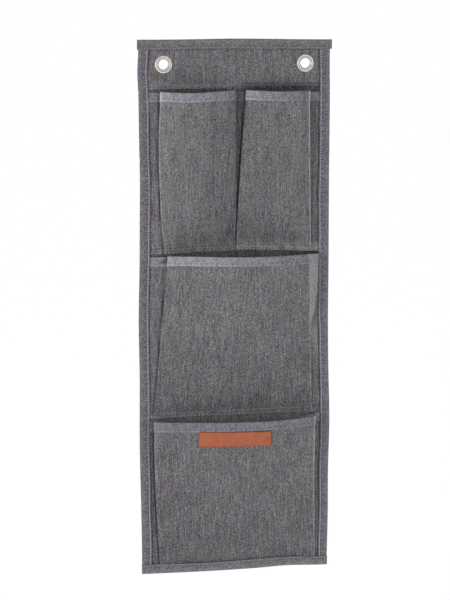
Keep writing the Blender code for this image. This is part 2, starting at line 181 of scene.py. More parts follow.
def way_along(line):
    """How far along a line, or along a grid's first direction, each point lies."""
    steps = np.linalg.norm(np.diff(line, axis=0), axis=-1)
    return np.concatenate([np.zeros_like(steps[:1]), np.cumsum(steps, axis=0)])


def crosswise(vectors, towards):
    """Vectors (x, depth) turned by a right angle, to the side that another one points to."""
    turned = pack(-vectors[:, 1], vectors[:, 0])
    return turned * np.where(turned @ np.array(towards) < 0, -1.0, 1.0)[:, None]


def grid_normal(grid):
    """The cross product of a grid's two tangents, at each of its points."""
    return unit(np.cross(np.gradient(grid, axis=0), np.gradient(grid, axis=1)))


def make_piece(name, points, faces, material, flat=None, wear=None, sharp=50):
    """A mesh object from points and faces, with its flat map in metres and its painted light and shade, with
    worn places, where it has them.
    """
    mesh = bpy.data.meshes.new(name)
    mesh.from_pydata(points, [], faces)
    if flat is not None:
        corners = np.empty(len(mesh.loops), dtype=np.int32)
        mesh.loops.foreach_get("vertex_index", corners)
        layer = mesh.uv_layers.new(name="flat")
        layer.data.foreach_set("uv", flat[corners].astype(np.float32).ravel())
    if wear is not None:
        mesh.attributes.new("wear", "FLOAT", "POINT").data.foreach_set("value", wear.astype(np.float32))
    mesh.shade_smooth()
    mesh.set_sharp_from_angle(angle=math.radians(sharp))
    mesh.materials.append(material)
    piece = bpy.data.objects.new(name, mesh)
    bpy.context.scene.collection.objects.link(piece)
    return piece


def face_outward(piece):
    """Merges doubles and turns the faces of a closed shape outwards."""
    shape = bmesh.new()
    shape.from_mesh(piece.data)
    bmesh.ops.remove_doubles(shape, verts=shape.verts, dist=1e-7)
    bmesh.ops.recalc_face_normals(shape, faces=shape.faces)
    shape.to_mesh(piece.data)
    shape.free()
    return piece


def quads(a, b, c, d):
    return np.stack([a.ravel(), b.ravel(), c.ravel(), d.ravel()], axis=1)


def grid_faces(n, m):
    """A grid's quads. Its first direction crossed with its second points outwards."""
    index = np.arange(n * m).reshape(n, m)
    return quads(index[:-1, :-1], index[1:, :-1], index[1:, 1:], index[:-1, 1:])


def cloth_piece(name, middle, thickness, flat, material, wear, faces=None, behind=1.0):
    """A cloth around the quads on its middle: each side lies half the thickness along the normal.

    Its painted light and shade and worn places count on its outer side, and a share of them, behind, on the
    other.

    A point's normal is the sum of its faces' diagonals' cross products. An edge that only one face uses
    is the cloth's border, and gets a wall between the two sides.
    """
    if faces is None:
        faces = grid_faces(*middle.shape[:2])
    middle, flat = middle.reshape(-1, 3), flat.reshape(-1, 2)
    count = len(middle)
    corner = middle[faces]
    across = np.cross(corner[:, 2] - corner[:, 0], corner[:, 3] - corner[:, 1])
    normal = np.zeros_like(middle)
    for k in range(4):
        np.add.at(normal, faces[:, k], across)
    shift = unit(normal) * np.broadcast_to(np.ravel(thickness), count)[:, None] / 2
    edges = np.concatenate([faces[:, [k, (k + 1) % 4]] for k in range(4)])
    border = edges[~np.isin(edges[:, 0] * count + edges[:, 1], edges[:, 1] * count + edges[:, 0])]
    walls = np.stack([border[:, 1], border[:, 0], border[:, 0] + count, border[:, 1] + count], axis=1)
    every = np.concatenate([faces, faces[:, ::-1] + count, walls])
    points = np.concatenate([middle + shift, middle - shift])
    wear = np.concatenate([wear.ravel(), wear.ravel() * behind])
    return make_piece(name, points, every.tolist(), material, np.tile(flat, (2, 1)), wear)


def turned_piece(name, profile, centre, material, wear, steps=96):
    """A closed (radius, depth) profile turned once round a line along Y through the centre."""
    turns = np.linspace(0, 2 * math.pi, steps, endpoint=False)
    radius, depth = profile[:, :1], profile[:, 1:]
    points = pack(
        centre[0] + radius * np.cos(turns), centre[1] + depth, centre[2] + radius * np.sin(turns)
    )
    index = np.arange(len(profile) * steps).reshape(len(profile), steps)
    down, turn = np.roll(index, -1, axis=0), np.roll(index, -1, axis=1)
    faces = quads(index, down, np.roll(down, -1, axis=1), turn).tolist()
    wear = np.repeat(wear, steps)
    return face_outward(make_piece(name, points.reshape(-1, 3), faces, material, wear=wear, sharp=60))


def stitch_points(path, normal, pitch, width, cover):
    """Stitches along a path: each is a short rod that arches out of the cloth and dips in at its ends.

    Its height is a half sine along its length, and so is its thickness, to a low power.
    """
    run = way_along(path)
    count = int(run[-1] / pitch + 0.1)
    share = np.linspace(0.0, 1.0, 7)
    where = (np.arange(count)[:, None] + 0.5 + cover * (share - 0.5)) * pitch + (run[-1] - count * pitch) / 2
    centre = np.stack([np.interp(where, run, path[:, k]) for k in range(3)], axis=-1)
    out = unit(np.stack([np.interp(where, run, normal[:, k]) for k in range(3)], axis=-1))
    along = unit(np.gradient(centre, axis=1))
    side = np.cross(along, out)
    arch = np.sin(math.pi * share)
    centre = centre + out * (width * (0.75 * arch - 0.30))[None, :, None]
    radius = (width / 2 * np.maximum(arch, 0.02) ** 0.4)[None, :, None, None]
    turns = np.linspace(0, 2 * math.pi, 6, endpoint=False)
    ring = out[:, :, None] * np.cos(turns)[:, None] + side[:, :, None] * np.sin(turns)[:, None]
    return centre[:, :, None] + ring * radius


def stitch_piece(name, rows, material, pitch=STITCH_PITCH, width=0.00072, cover=0.84):
    """All stitches of some rows in one piece. Each row is (path, normal)."""
    groups = np.concatenate([stitch_points(path, normal, pitch, width, cover) for path, normal in rows])
    count, rings, sides = groups.shape[:3]
    index = np.arange(count * rings * sides).reshape(count, rings, sides)
    turn = np.roll(index, -1, axis=2)
    faces = quads(index[:, :-1], turn[:, :-1], turn[:, 1:], index[:, 1:]).tolist()
    faces += index[:, 0, ::-1].tolist() + index[:, -1].tolist()
    return face_outward(make_piece(name, groups.reshape(-1, 3), faces, material, sharp=180))


# Finishes


def shade(red, green, blue):
    """A colour given as it looks, 0 to 255 a part, in the linear scale that a shader takes."""
    return tuple(((part / 255 + 0.055) / 1.055) ** 2.4 for part in (red, green, blue))


def start_finish(name, colour, roughness, metallic=0.0):
    """A Principled material with its even values on the shader's own sockets."""
    material = bpy.data.materials.new(name)
    material.use_nodes = True
    tree = material.node_tree
    shader = tree.nodes["Principled BSDF"]
    shader.inputs["Base Color"].default_value = (*colour, 1.0)
    shader.inputs["Roughness"].default_value = roughness
    shader.inputs["Metallic"].default_value = metallic
    return material, tree, shader


def maths(tree, operation, *values):
    """A Math node whose inputs are numbers or other nodes' outputs."""
    node = tree.nodes.new("ShaderNodeMath")
    node.operation = operation
    for slot, value in zip(node.inputs, values):
        fill(tree, slot, value)
    return node.outputs[0]


def noise(tree, place, scale, detail=2.0):
    """Noise between 0 and 1, stretched by a scale along each axis."""
    mapping = tree.nodes.new("ShaderNodeMapping")
    mapping.inputs["Scale"].default_value = scale
    tree.links.new(place, mapping.inputs["Vector"])
    texture = tree.nodes.new("ShaderNodeTexNoise")
    texture.inputs["Scale"].default_value = 1.0
    texture.inputs["Detail"].default_value = detail
    tree.links.new(mapping.outputs[0], texture.inputs["Vector"])
    return texture.outputs["Fac"]


def ramp_colour(tree, value, stops):
    """A colour ramp through (position, colour) stops."""
    node = tree.nodes.new("ShaderNodeValToRGB")
    elements = node.color_ramp.elements
    while len(elements) < len(stops):
        elements.new(0.5)
    for element, (position, colour) in zip(elements, stops):
        element.position = position
        element.color = (*colour, 1.0)
    tree.links.new(value, node.inputs["Fac"])
    return node.outputs["Color"]


def mixed(tree, share, first, second):
    """A colour between two others."""
    node = tree.nodes.new("ShaderNodeMix")
    node.data_type = "RGBA"
    for name, value in (("Factor_Float", share), ("A_Color", first), ("B_Color", second)):
        tree.links.new(value, next(slot for slot in node.inputs if slot.identifier == name))
    return next(slot for slot in node.outputs if slot.identifier == "Result_Color")


def raise_surface(tree, shader, height, strength):
    node = tree.nodes.new("ShaderNodeBump")
    node.inputs["Strength"].default_value = strength
    node.inputs["Distance"].default_value = 0.00015
    tree.links.new(height, node.inputs["Height"])
    tree.links.new(node.outputs["Normal"], shader.inputs["Normal"])


def flat_place(tree):
    """The UV map flat: metres along the cloth as it was cut, with its two parts apart as well."""
    place = tree.nodes.new("ShaderNodeUVMap")
    place.uv_map = "flat"
    parts = tree.nodes.new("ShaderNodeSeparateXYZ")
    tree.links.new(place.outputs[0], parts.inputs[0])
    return place.outputs[0], parts.outputs["X"], parts.outputs["Y"]


def fill(tree, slot, value):
    """Puts a number, or another node's output, into an input."""
    if isinstance(value, (int, float)):
        slot.default_value = value
    else:
        tree.links.new(value, slot)


def joined(tree, x, y):
    """A place made of two numbers."""
    node = tree.nodes.new("ShaderNodeCombineXYZ")
    fill(tree, node.inputs["X"], x)
    fill(tree, node.inputs["Y"], y)
    return node.outputs[0]


def wear_of(tree):
    """The piece's painted light and shade, with worn places: above 0 on pressed folds, edges and painted
    highlights, below 0 for painted shade, in needle holes and shadows.
    """
    node = tree.nodes.new("ShaderNodeAttribute")
    node.attribute_name = "wear"
    return node.outputs["Fac"]


def random_of(tree, place):
    """A number between 0 and 1 for each place, with nothing shared between neighbours."""
    node = tree.nodes.new("ShaderNodeTexWhiteNoise")
    node.noise_dimensions = "2D"
    tree.links.new(place, node.inputs["Vector"])
    return node.outputs["Value"]


def summed(tree, start, parts):
    """A start value and weighted parts, each of which varies round one half."""
    total = start
    for part, weight in parts:
        total = maths(tree, "ADD", total, maths(tree, "MULTIPLY", maths(tree, "SUBTRACT", part, 0.5), weight))
    return total


def melange_finish():
    """Dark grey cloth in plain weave, of mixed light and dark yarns.

    Yarns are numbered by rounding the flat lengths down to whole yarns. Each warp yarn takes its tone
    from noise at a place of its own, slow along the yarn, and so does each weft yarn. Warp shows where
    the two numbers add up to an even one. A random tone for each crossing and slow shades are added, and
    the colour drifts slowly between a warmer and a cooler grey.
    """
    material, tree, shader = start_finish("melange_cloth", shade(107, 105, 108), 0.92)
    place, u, v = flat_place(tree)
    warp = maths(tree, "FLOOR", maths(tree, "DIVIDE", u, YARN))
    weft = maths(tree, "FLOOR", maths(tree, "DIVIDE", v, YARN))
    warp_start = maths(tree, "MULTIPLY", random_of(tree, joined(tree, warp, 0.5)), 900.0)
    weft_start = maths(tree, "MULTIPLY", random_of(tree, joined(tree, 0.5, weft)), 900.0)
    slubs = noise(tree, joined(tree, warp_start, v), (1.0, 40.0, 1.0))
    fillings = noise(tree, joined(tree, u, weft_start), (260.0, 1.0, 1.0))
    crossing = random_of(tree, joined(tree, warp, weft))
    slow = noise(tree, place, (26.0, 20.0, 1.0), 3.0)
    even = maths(tree, "FLOORED_MODULO", maths(tree, "ADD", warp, weft), 2.0)
    uneven = maths(tree, "SUBTRACT", 1.0, even)
    yarn = maths(tree, "ADD", maths(tree, "MULTIPLY", slubs, uneven), maths(tree, "MULTIPLY", fillings, even))
    tone = summed(tree, 0.5, ((slubs, 0.54), (yarn, 0.60), (crossing, 0.70), (slow, 0.14)))
    tone = maths(tree, "MULTIPLY_ADD", wear_of(tree), 0.40, tone)
    tint = maths(tree, "MULTIPLY_ADD", noise(tree, place, (38.0, 30.0, 1.0), 3.0), 2.5, -0.75)
    low, high = (0.0, shade(31, 25, 38)), (1.0, shade(184, 182, 183))
    warm = (low, (0.25, shade(76, 73, 79)), (0.5, shade(104, 102, 102)), high)
    cool = (low, (0.25, shade(76, 72, 81)), (0.5, shade(103, 100, 105)), high)
    colours = [ramp_colour(tree, tone, stops) for stops in (warm, cool)]
    tree.links.new(mixed(tree, tint, *colours), shader.inputs["Base Color"])
    wave = maths(tree, "SINE", maths(tree, "MULTIPLY", u, math.pi / YARN))
    cross_wave = maths(tree, "SINE", maths(tree, "MULTIPLY", v, math.pi / YARN))
    weave = maths(tree, "ABSOLUTE", maths(tree, "MULTIPLY", wave, cross_wave))
    raise_surface(tree, shader, maths(tree, "ADD", weave, yarn), 0.5)
    shader.inputs["Sheen Weight"].default_value = 0.08
    shader.inputs["Sheen Roughness"].default_value = 0.6
    shader.inputs["Specular IOR Level"].default_value = 0.2
    return material


def seam_dots(tree, u, v, inset, pitch):
    """Dots along an edge tape: a cosine along it, times a bell across it at an inset from a cut edge.

    v starts at the first hole, and u at the tape's cut edge, so both legs of the fold have the dots at
    the same distance from an edge.
    """
    length, dot_radius = 2 * TAPE_WIDTH + 0.0018, 0.0009
    edge = maths(tree, "MINIMUM", u, maths(tree, "SUBTRACT", length, u))
    away = maths(tree, "DIVIDE", maths(tree, "SUBTRACT", edge, inset), dot_radius)
    bell = maths(tree, "EXPONENT", maths(tree, "MULTIPLY", maths(tree, "MULTIPLY", away, away), -1.0))
    wave = maths(tree, "COSINE", maths(tree, "MULTIPLY", v, 2 * math.pi / pitch))
    return maths(tree, "MULTIPLY", bell, wave)


def twill_finish(name, colours, patches, pits=0.0, puckers=0.0):
    """Binding tape: fine slanted ribs, from a sine of the two flat lengths added, grain and soft patches.

    An edge tape has painted shade in the needle holes of its seam, and the painted light and shade of puckers
    as a line of dots further out.
    """
    rib_pitch, grain_size = 0.0021, 0.0006
    material, tree, shader = start_finish(name, colours[1], 0.8)
    place, u, v = flat_place(tree)
    ribs = maths(tree, "SINE", maths(tree, "MULTIPLY", maths(tree, "ADD", u, v), 2 * math.pi / rib_pitch))
    grains = [maths(tree, "FLOOR", maths(tree, "DIVIDE", part, grain_size)) for part in (u, v)]
    grain = random_of(tree, joined(tree, *grains))
    slubs = noise(tree, place, (700.0, 160.0, 1.0))
    patch = noise(tree, place, (30.0, 30.0, 1.0))
    tone = maths(tree, "MULTIPLY_ADD", ribs, 0.05, 0.5)
    tone = summed(tree, tone, ((grain, 0.50), (slubs, 0.50), (patch, patches)))
    tone = maths(tree, "MULTIPLY_ADD", wear_of(tree), 0.30, tone)
    if pits > 0:
        # Painted shade in the seam's needle holes, and the painted light and shade of puckers further out.
        holes = maths(tree, "MAXIMUM", seam_dots(tree, u, v, HOLES_INSET, EDGE_PITCH), 0.0)
        tone = maths(tree, "MULTIPLY_ADD", holes, -pits, tone)
        dots = seam_dots(tree, u, v, PUCKER_INSET, PUCKER_PITCH)
        tone = maths(tree, "MULTIPLY_ADD", dots, puckers, tone)
    stops = tuple(zip((0.0, 0.5, 1.0), colours))
    tree.links.new(ramp_colour(tree, tone, stops), shader.inputs["Base Color"])
    raise_surface(tree, shader, maths(tree, "MULTIPLY_ADD", slubs, 0.8, ribs), 0.35)
    shader.inputs["Sheen Weight"].default_value = 0.08
    shader.inputs["Specular IOR Level"].default_value = 0.35
    return material


def nickel_finish():
    """Bright nickel, with very fine uneven polish, and painted shade in the grooves."""
    material, tree, shader = start_finish("bright_nickel", shade(250, 246, 240), 0.15, 0.6)
    place = tree.nodes.new("ShaderNodeTexCoord").outputs["Object"]
    polish = noise(tree, place, (900.0, 900.0, 900.0), 3.0)
    tree.links.new(maths(tree, "MULTIPLY_ADD", polish, 0.14, 0.10), shader.inputs["Roughness"])
    tone = maths(tree, "ADD", wear_of(tree), summed(tree, 0.98, ((polish, 0.08),)))
    stops = ((0.0, shade(52, 46, 42)), (0.5, shade(150, 143, 134)), (1.0, shade(255, 251, 245)))
    tree.links.new(ramp_colour(tree, tone, stops), shader.inputs["Base Color"])
    return material


def leather_finish():
    """Orange-brown leather: pebbled grain, slow shades, and edges cut clean, darkened by painted shade."""
    material, tree, shader = start_finish("plain_leather", shade(174, 90, 51), 0.5)
    place = flat_place(tree)[0]
    slow = noise(tree, place, (90.0, 90.0, 1.0), 4.0)
    fine = noise(tree, place, (1500.0, 1500.0, 1.0), 3.0)
    tone = maths(tree, "MULTIPLY_ADD", fine, 0.35, maths(tree, "MULTIPLY", slow, 0.65))
    tone = maths(tree, "ADD", tone, maths(tree, "MULTIPLY", wear_of(tree), 0.4))
    dark = (0.0, shade(104, 48, 27)), (0.25, shade(154, 75, 43))
    stops = (*dark, (0.5, shade(174, 91, 54)), (0.75, shade(190, 104, 63)))
    tree.links.new(ramp_colour(tree, tone, stops), shader.inputs["Base Color"])
    pebbles = tree.nodes.new("ShaderNodeTexVoronoi")
    pebbles.inputs["Scale"].default_value = 1100.0
    tree.links.new(place, pebbles.inputs["Vector"])
    height = maths(tree, "MULTIPLY_ADD", fine, 0.5, pebbles.outputs["Distance"])
    raise_surface(tree, shader, height, 0.3)
    tree.links.new(maths(tree, "MULTIPLY_ADD", slow, 0.25, 0.36), shader.inputs["Roughness"])
    return material


def thread_finish(name, colour):
    """Sewing thread, with the twist's fine light and dark."""
    material, tree, shader = start_finish(name, colour, 0.6)
    place = tree.nodes.new("ShaderNodeTexCoord").outputs["Object"]
    fibre = noise(tree, place, (2500.0, 2500.0, 2500.0))
    low = tuple(0.7 * part for part in colour)
    high = tuple(min(1.0, 1.25 * part) for part in colour)
    tree.links.new(ramp_colour(tree, fibre, ((0.35, low), (0.65, high))), shader.inputs["Base Color"])
    return material


CLOTH_FINISH = melange_finish()
EDGE_SHADES = (shade(34, 30, 38), shade(101, 97, 105), shade(187, 183, 192))
MOUTH_SHADES = (shade(58, 54, 62), shade(136, 132, 141), shade(218, 214, 224))
CROSS_SHADES = (shade(36, 33, 38), shade(110, 106, 112), shade(190, 187, 193))
SIDE_FINISH = twill_finish("side_twill", EDGE_SHADES, 0.12, 0.10, 0.13)
CROSS_FINISH = twill_finish("cross_twill", CROSS_SHADES, 0.12, 0.20, 0.07)
MOUTH_FINISH = twill_finish("mouth_twill", MOUTH_SHADES, 0.22)
NICKEL = nickel_finish()
LEATHER = leather_finish()
THREAD = thread_finish("light_thread", shade(199, 195, 203))
FINE_THREAD = thread_finish("grey_thread", shade(168, 164, 171))
# Thread in painted shade, for the divider seam that lies in the shadow between the upper pockets.
DARK_THREAD = thread_finish("dark_thread", shade(84, 80, 88))
MOUTH_THREAD = thread_finish("mouth_thread", shade(134, 130, 140))


# Panel, header facing and edge tapes


GRID_PITCH = 0.0029


def spaced(stops):
    """Values from the first stop to the last, through each stop, in even steps of at most the grid's."""
    pairs = list(zip(stops, stops[1:]))
    counts = [max(2, math.ceil((b - a) / GRID_PITCH) + 1) for a, b in pairs]
    parts = [np.linspace(a, b, count)[:-1] for (a, b), count in zip(pairs, counts)]
    return np.concatenate([*parts, stops[-1:]])


def cut_sheet(z_lines):
    """A flat sheet's points and quads, with a round hole at each eyelet.

    The grid leaves out a square round each eyelet. Rings that go from the square to the hole's circle,
    each a mix of the two, fill it again.
    """
    x_lines = PANEL_COLUMNS
    n, m = len(x_lines), len(z_lines)
    points, faces = [pack(x_lines[:, None], z_lines).reshape(-1, 2)], grid_faces(n, m)
    centre = points[0][faces].mean(axis=1)
    total = n * m
    kept, rings = np.ones(len(faces), dtype=bool), []
    for side in (-1, 1):
        eyelet = np.array([side * EYELET_X, 0.0])
        kept &= np.abs(centre - eyelet).max(axis=1) > EYELET_WINDOW
        i0, i1 = (int(np.argmin(np.abs(x_lines - eyelet[0] - s * EYELET_WINDOW))) for s in (-1, 1))
        j0, j1 = (int(np.argmin(np.abs(z_lines - s * EYELET_WINDOW))) for s in (-1, 1))
        i, j = np.arange(i0, i1), np.arange(j0, j1)
        loop = np.concatenate([i * m + j0, i1 * m + j, (i1 - i + i0) * m + j1, i0 * m + (j1 - j + j0)])
        square = points[0][loop]
        circle = eyelet + EYELET_SHIFTS[side] + EYELET_HOLE * unit(square - eyelet)
        for share in (0.3, 0.6, 0.8, 1.0):
            inner = total + np.arange(len(loop))
            points.append(between(square, circle, share))
            rings.append(quads(loop, np.roll(loop, -1), np.roll(inner, -1), inner))
            total, loop = total + len(loop), inner
    faces = np.concatenate([faces[kept], *rings])
    used, again = np.unique(faces, return_inverse=True)
    return np.concatenate(points)[used], again.reshape(faces.shape)


PANEL_HALF = BODY_HALF - TAPE - GAP
PANEL_TOP = TOP - TAPE - GAP
PANEL_LOW = BOTTOM + TAPE + GAP
EDGE_STOPS = [PANEL_HALF, 0.1135, *(0.1128 - 0.00042 * np.arange(9))]
COLUMN_STOPS = [*EDGE_STOPS, EYELET_X + EYELET_WINDOW, EYELET_X - EYELET_WINDOW]
PANEL_COLUMNS = spaced([*(-x for x in COLUMN_STOPS), *COLUMN_STOPS[::-1]])
CROSS_EDGE = TOP - TAPE_WIDTH
HEADER_STOPS = [EYELET_WINDOW, CROSS_EDGE - 0.0015, *(CROSS_EDGE + 0.0004 * np.arange(-3, 3)), PANEL_TOP]


def tape_inner_edge(side, z):
    """How far out of the middle an edge tape's cut edge lies. Hand-fed tape wanders by about a millimetre."""
    if side < 0:
        wider = 0.0004 + 0.0007 * bump(z, -0.190, 0.060)
    else:
        wider = 0.0013 * ramp(z, -0.350, -0.325) + 0.0005 * bump(z, -0.190, 0.050)
    return SIDE_SEAM - wider - 0.0002 * np.sin(67.0 * z)


def groove(distance):
    """A painted shadow: the dark line in a cloth beside a tape that lies on it."""
    return -0.9 * bump(distance, 0.0004, 0.0008)


def side_grooves(x, z):
    """The painted shadows beside both side tapes."""
    return groove(tape_inner_edge(-1, z) + x) + groove(tape_inner_edge(1, z) - x)


def add_panel():
    flat, faces = cut_sheet(spaced([PANEL_LOW, -EYELET_WINDOW, EYELET_WINDOW, PANEL_TOP]))
    x, z = flat[:, 0], flat[:, 1]
    # Painted shadows beside the side tapes and in the gaps above the upper and middle pockets' mouths, deeper
    # on the right under the header, and painted light in the gap above the lower pocket's mouth. The back has
    # none of it.
    wear = side_grooves(x, z) - 0.22 * ramp(x, -0.02, 0.02) * bump(z, -0.037, 0.008)
    for height, amount in ((-0.037, -0.14), (-0.250, -0.08), (-0.466, 0.25)):
        wear = wear + amount * bump(z, height, 0.008)
    middle = settle(pack(x, -CLOTH / 2, z))
    piece = cloth_piece("panel_cloth", middle, CLOTH, flat, CLOTH_FINISH, wear, faces, behind=0.0)
    return piece, (2 * PANEL_HALF, PANEL_TOP - PANEL_LOW)


def add_header():
    """The facing: its lower edge is a folded hem, thicker than the rest and round at its end.

    The hem stands off a little below its seam, by a bell times a slow sine, and dips in at the seam. Its
    right half has painted shade towards the edge.
    """
    rises = [0, 0.1, 0.3, 0.6, 1.0, 1.8, 2.6, 3.4, 4.0, 4.6, 5.2, 5.8, 6.4, 7.2, 8.0, 9.5]
    fine = HEADER_EDGE + 0.001 * np.array(rises)
    rows = np.concatenate([fine, spaced([fine[-1], -EYELET_WINDOW, *HEADER_STOPS])[1:]])
    flat, faces = cut_sheet(rows)
    x, z = flat[:, 0], flat[:, 1]
    rise = z - HEADER_EDGE
    inside = 1 - ramp(np.abs(x), SIDE_SEAM - 0.006, SIDE_SEAM)
    lifted = (0.0016 - 0.0011 * ramp(x, -0.02, 0.03)) * bump(rise, 0.0, 0.0040) * inside
    lifted = lifted * (1 + 0.3 * np.sin(70.0 * x))
    dip = 0.0003 * bump(z, HEADER_SEAM, 0.0012) * inside
    middle = settle(pack(x, PRESSED_DEPTH - lifted + dip, z))
    hem = CLOTH + (HEM_THICKNESS - CLOTH) * (1 - ramp(rise, HEM_WIDTH - 0.001, HEM_WIDTH)) * inside
    thickness = hem * edge_round(rise, HEM_THICKNESS / 2)
    right = ramp(x, -0.012, 0.022)
    # Painted light and shade: a highlight along the hem's edge and a light band above it on the left, shade
    # over the right half towards the edge, a dark line above the seam from near the middle rightwards,
    # shadows beside the tapes, and the puckers' light and shade.
    wear = 0.35 * bump(rise, 0.0, 0.0010) * (1 - right) + 0.30 * bump(rise, 0.0045, 0.0020) * (1 - right)
    wear = wear - right * (0.55 * (1 - ramp(rise, 0.0, 0.0070)) + 0.20 * (1 - ramp(rise, 0.0070, 0.0090)))
    wear = wear - 0.22 * ramp(x, -0.045, -0.020) * bump(rise, 0.0064, 0.0007)
    wear = wear + side_grooves(x, z) + 0.4 * groove(CROSS_EDGE - z) + hem_puckers(x, rise) * inside
    piece = cloth_piece("header_facing_cloth", middle, thickness, flat, CLOTH_FINISH, wear, faces)
    return piece, (2 * PANEL_HALF, PANEL_TOP - HEADER_EDGE + HEM_WIDTH)


def hem_puckers(x, rise):
    """Painted light and shade of puckers along a hem's edge: a cosine along it, times a bell of the height
    above it.
    """
    return 0.45 * np.cos(2 * math.pi * x / HEM_PITCH) * bump(rise, 0.0008, 0.0013)


def edge_round(distance, radius):
    """The share of full thickness near a round edge: a quarter circle of that radius."""
    share = np.clip(distance / radius, 0.0, 1.0)
    return np.sqrt(np.maximum(1 - (1 - share) ** 2, 0.01))


def tape_profile(front, back):
    """A folded tape from cut edge to cut edge: the way in from its fold, its depth, where it is in front,
    and the way along it.

    Its middle line is two straight legs and a flattened half circle. The seam pulls a leg in, as a bell,
    and its cut edge stands off a little beyond it.
    """
    f, b = front + TAPE / 2, back - TAPE / 2
    middle, radius = (f + b) / 2, (b - f) / 2
    turns = np.linspace(-math.pi / 2, math.pi / 2, 11)[1:-1]
    start = TAPE / 2 + radius * 0.45
    legs = TAPE_WIDTH - (TAPE_WIDTH - start) * np.linspace(0.0, 1.0, 10) ** 1.8
    fold = pack(start - radius * 0.45 * np.cos(turns), middle + radius * np.sin(turns))
    line = np.concatenate([pack(legs, f), fold, pack(legs[::-1], b)])
    inward, depth = line[:, :1], line[:, 1:]
    in_front, seam = depth < 0, TAPE_WIDTH - EDGE_SEAM_INSET
    press = SEAM_PRESS * bump(inward, seam, 0.0009) - 0.0003 * ramp(inward, seam + 0.0008, TAPE_WIDTH)
    return inward, depth + np.where(in_front, press, -press), in_front, way_along(line)


def tape_piece(name, grid, run, along, finish, flip, lit=0.0):
    """A folded tape, lighter towards its fold, darker beside its seam and worn along its cut edges. lit is
    painted light added to it.
    """
    cut, half = np.minimum(run, run[-1] - run), run[-1] / 2
    wear = 0.3 * bump(cut, half, 0.0010) + 0.15 * bump(cut, half, 0.0055)
    wear = wear + 0.10 * bump(cut, 0.0, 0.0006) - 0.15 * bump(cut, 0.0048, 0.0025)
    wear = wear[:, None] + np.broadcast_to(lit, grid.shape[:2])
    flat = pack(run[:, None], along)
    if flip:
        grid, flat, wear = grid[::-1], flat[::-1], wear[::-1]
    return cloth_piece(name, settle(grid), TAPE, flat, finish, wear)


def add_side_tape(name, side):
    """A folded tape carried up a long edge, with its two cut edges where tape_inner_edge puts them.

    The right one has painted light towards its cut edge beside the middle pocket's popped pleat, as a bell.
    """
    inward, depth, in_front, run = tape_profile(SIDE_TAPE_FRONT, SIDE_TAPE_BACK)
    z = np.linspace(PANEL_LOW, PANEL_TOP, 340)
    inward = inward + (SIDE_SEAM - tape_inner_edge(side, z)) * (inward / TAPE_WIDTH) ** 2
    lit = 0.55 * bump(z, -0.262, 0.034) * inward / TAPE_WIDTH * in_front * (side > 0)
    grid = pack(side * (BODY_HALF - inward), depth, z)
    return tape_piece(name, grid, run, z - SEAM_LOW, SIDE_FINISH, side > 0, lit)


def add_cross_tape(name, edge, upward, overhangs, bulge):
    """A folded tape carried along a short edge, over the ends of the side tapes.

    Its front bulges over the pleats of the pocket above it, where there is one.
    """
    inward, depth, in_front, run = tape_profile(CROSS_TAPE_FRONT, CROSS_TAPE_BACK)
    x = np.linspace(-BODY_HALF - overhangs[0], BODY_HALF + overhangs[1], 170)
    over = ramp(np.abs(x), 0.060, 0.085) * (1 - ramp(np.abs(x), 0.108, 0.118))
    depth = depth - bulge * over * ramp(inward, 0.002, 0.006) * in_front
    inward = inward + 0.0004 * np.sin(43.0 * x) * (inward / TAPE_WIDTH) ** 2
    grid = pack(x, depth, edge + upward * inward)
    return tape_piece(name + "_tape", grid, run, x + CROSS_REACH[name], CROSS_FINISH, upward > 0)


def flat_row(x, z, depth, outward):
    """A seam's path through places x, z at a depth, and the way out of the cloth."""
    return settle(pack(x, depth, z)), np.tile([0.0, outward, 0.0], (len(x), 1))


def straight_row(start, end, depth, outward):
    """A seam's path from (x, z) to (x, z)."""
    share = np.linspace(0.0, 1.0, 300)
    return flat_row(*(between(a, b, share) for a, b in zip(start, end)), depth, outward)


def add_edge_seams():
    """Rows of stitches through the edge tapes, seen on the front and on the back."""
    pieces, inset = [], TAPE_WIDTH - EDGE_SEAM_INSET
    faces = (SIDE_TAPE_FRONT + SEAM_PRESS, -1.0), (SIDE_TAPE_BACK - SEAM_PRESS, 1.0)
    cross_faces = (CROSS_TAPE_FRONT + SEAM_PRESS, -1.0), (CROSS_TAPE_BACK - SEAM_PRESS, 1.0)
    heights = np.linspace(SEAM_LOW, TOP - TAPE_WIDTH - SEAM_START, 500)
    for name, side in SIDES:
        x = side * (tape_inner_edge(side, heights) + EDGE_SEAM_INSET)
        rows = [flat_row(x, heights, *face) for face in faces]
        piece = stitch_piece("edge_stitches_" + name, rows, THREAD, EDGE_PITCH, 0.00110, 0.92)
        pieces.append(finish_piece(piece, "sewing_thread", "seam_edge_" + name))
    for name, z in (("bottom", BOTTOM + inset), ("top", TOP - inset)):
        reach = CROSS_REACH[name]
        rows = [straight_row((-reach, z), (reach, z), *face) for face in cross_faces]
        piece = stitch_piece("edge_stitches_" + name, rows, FINE_THREAD, EDGE_PITCH, 0.00076, 0.70)
        pieces.append(finish_piece(piece, "sewing_thread", "seam_edge_" + name))
    return pieces


def finish_piece(piece, slot, *nodes, body="panel"):
    """Rides on a body and stands for CAD nodes. The slot, the record's finish, is not used."""
    if body is not None:
        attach(piece, body)
    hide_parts(*nodes)
    return piece


# Eyelets


EYELET_RINGS = ((0.01010, 0.00085, 0.0007), (0.00812, 0.00074, 0.0006), (0.00652, 0.00044, 0.0005))


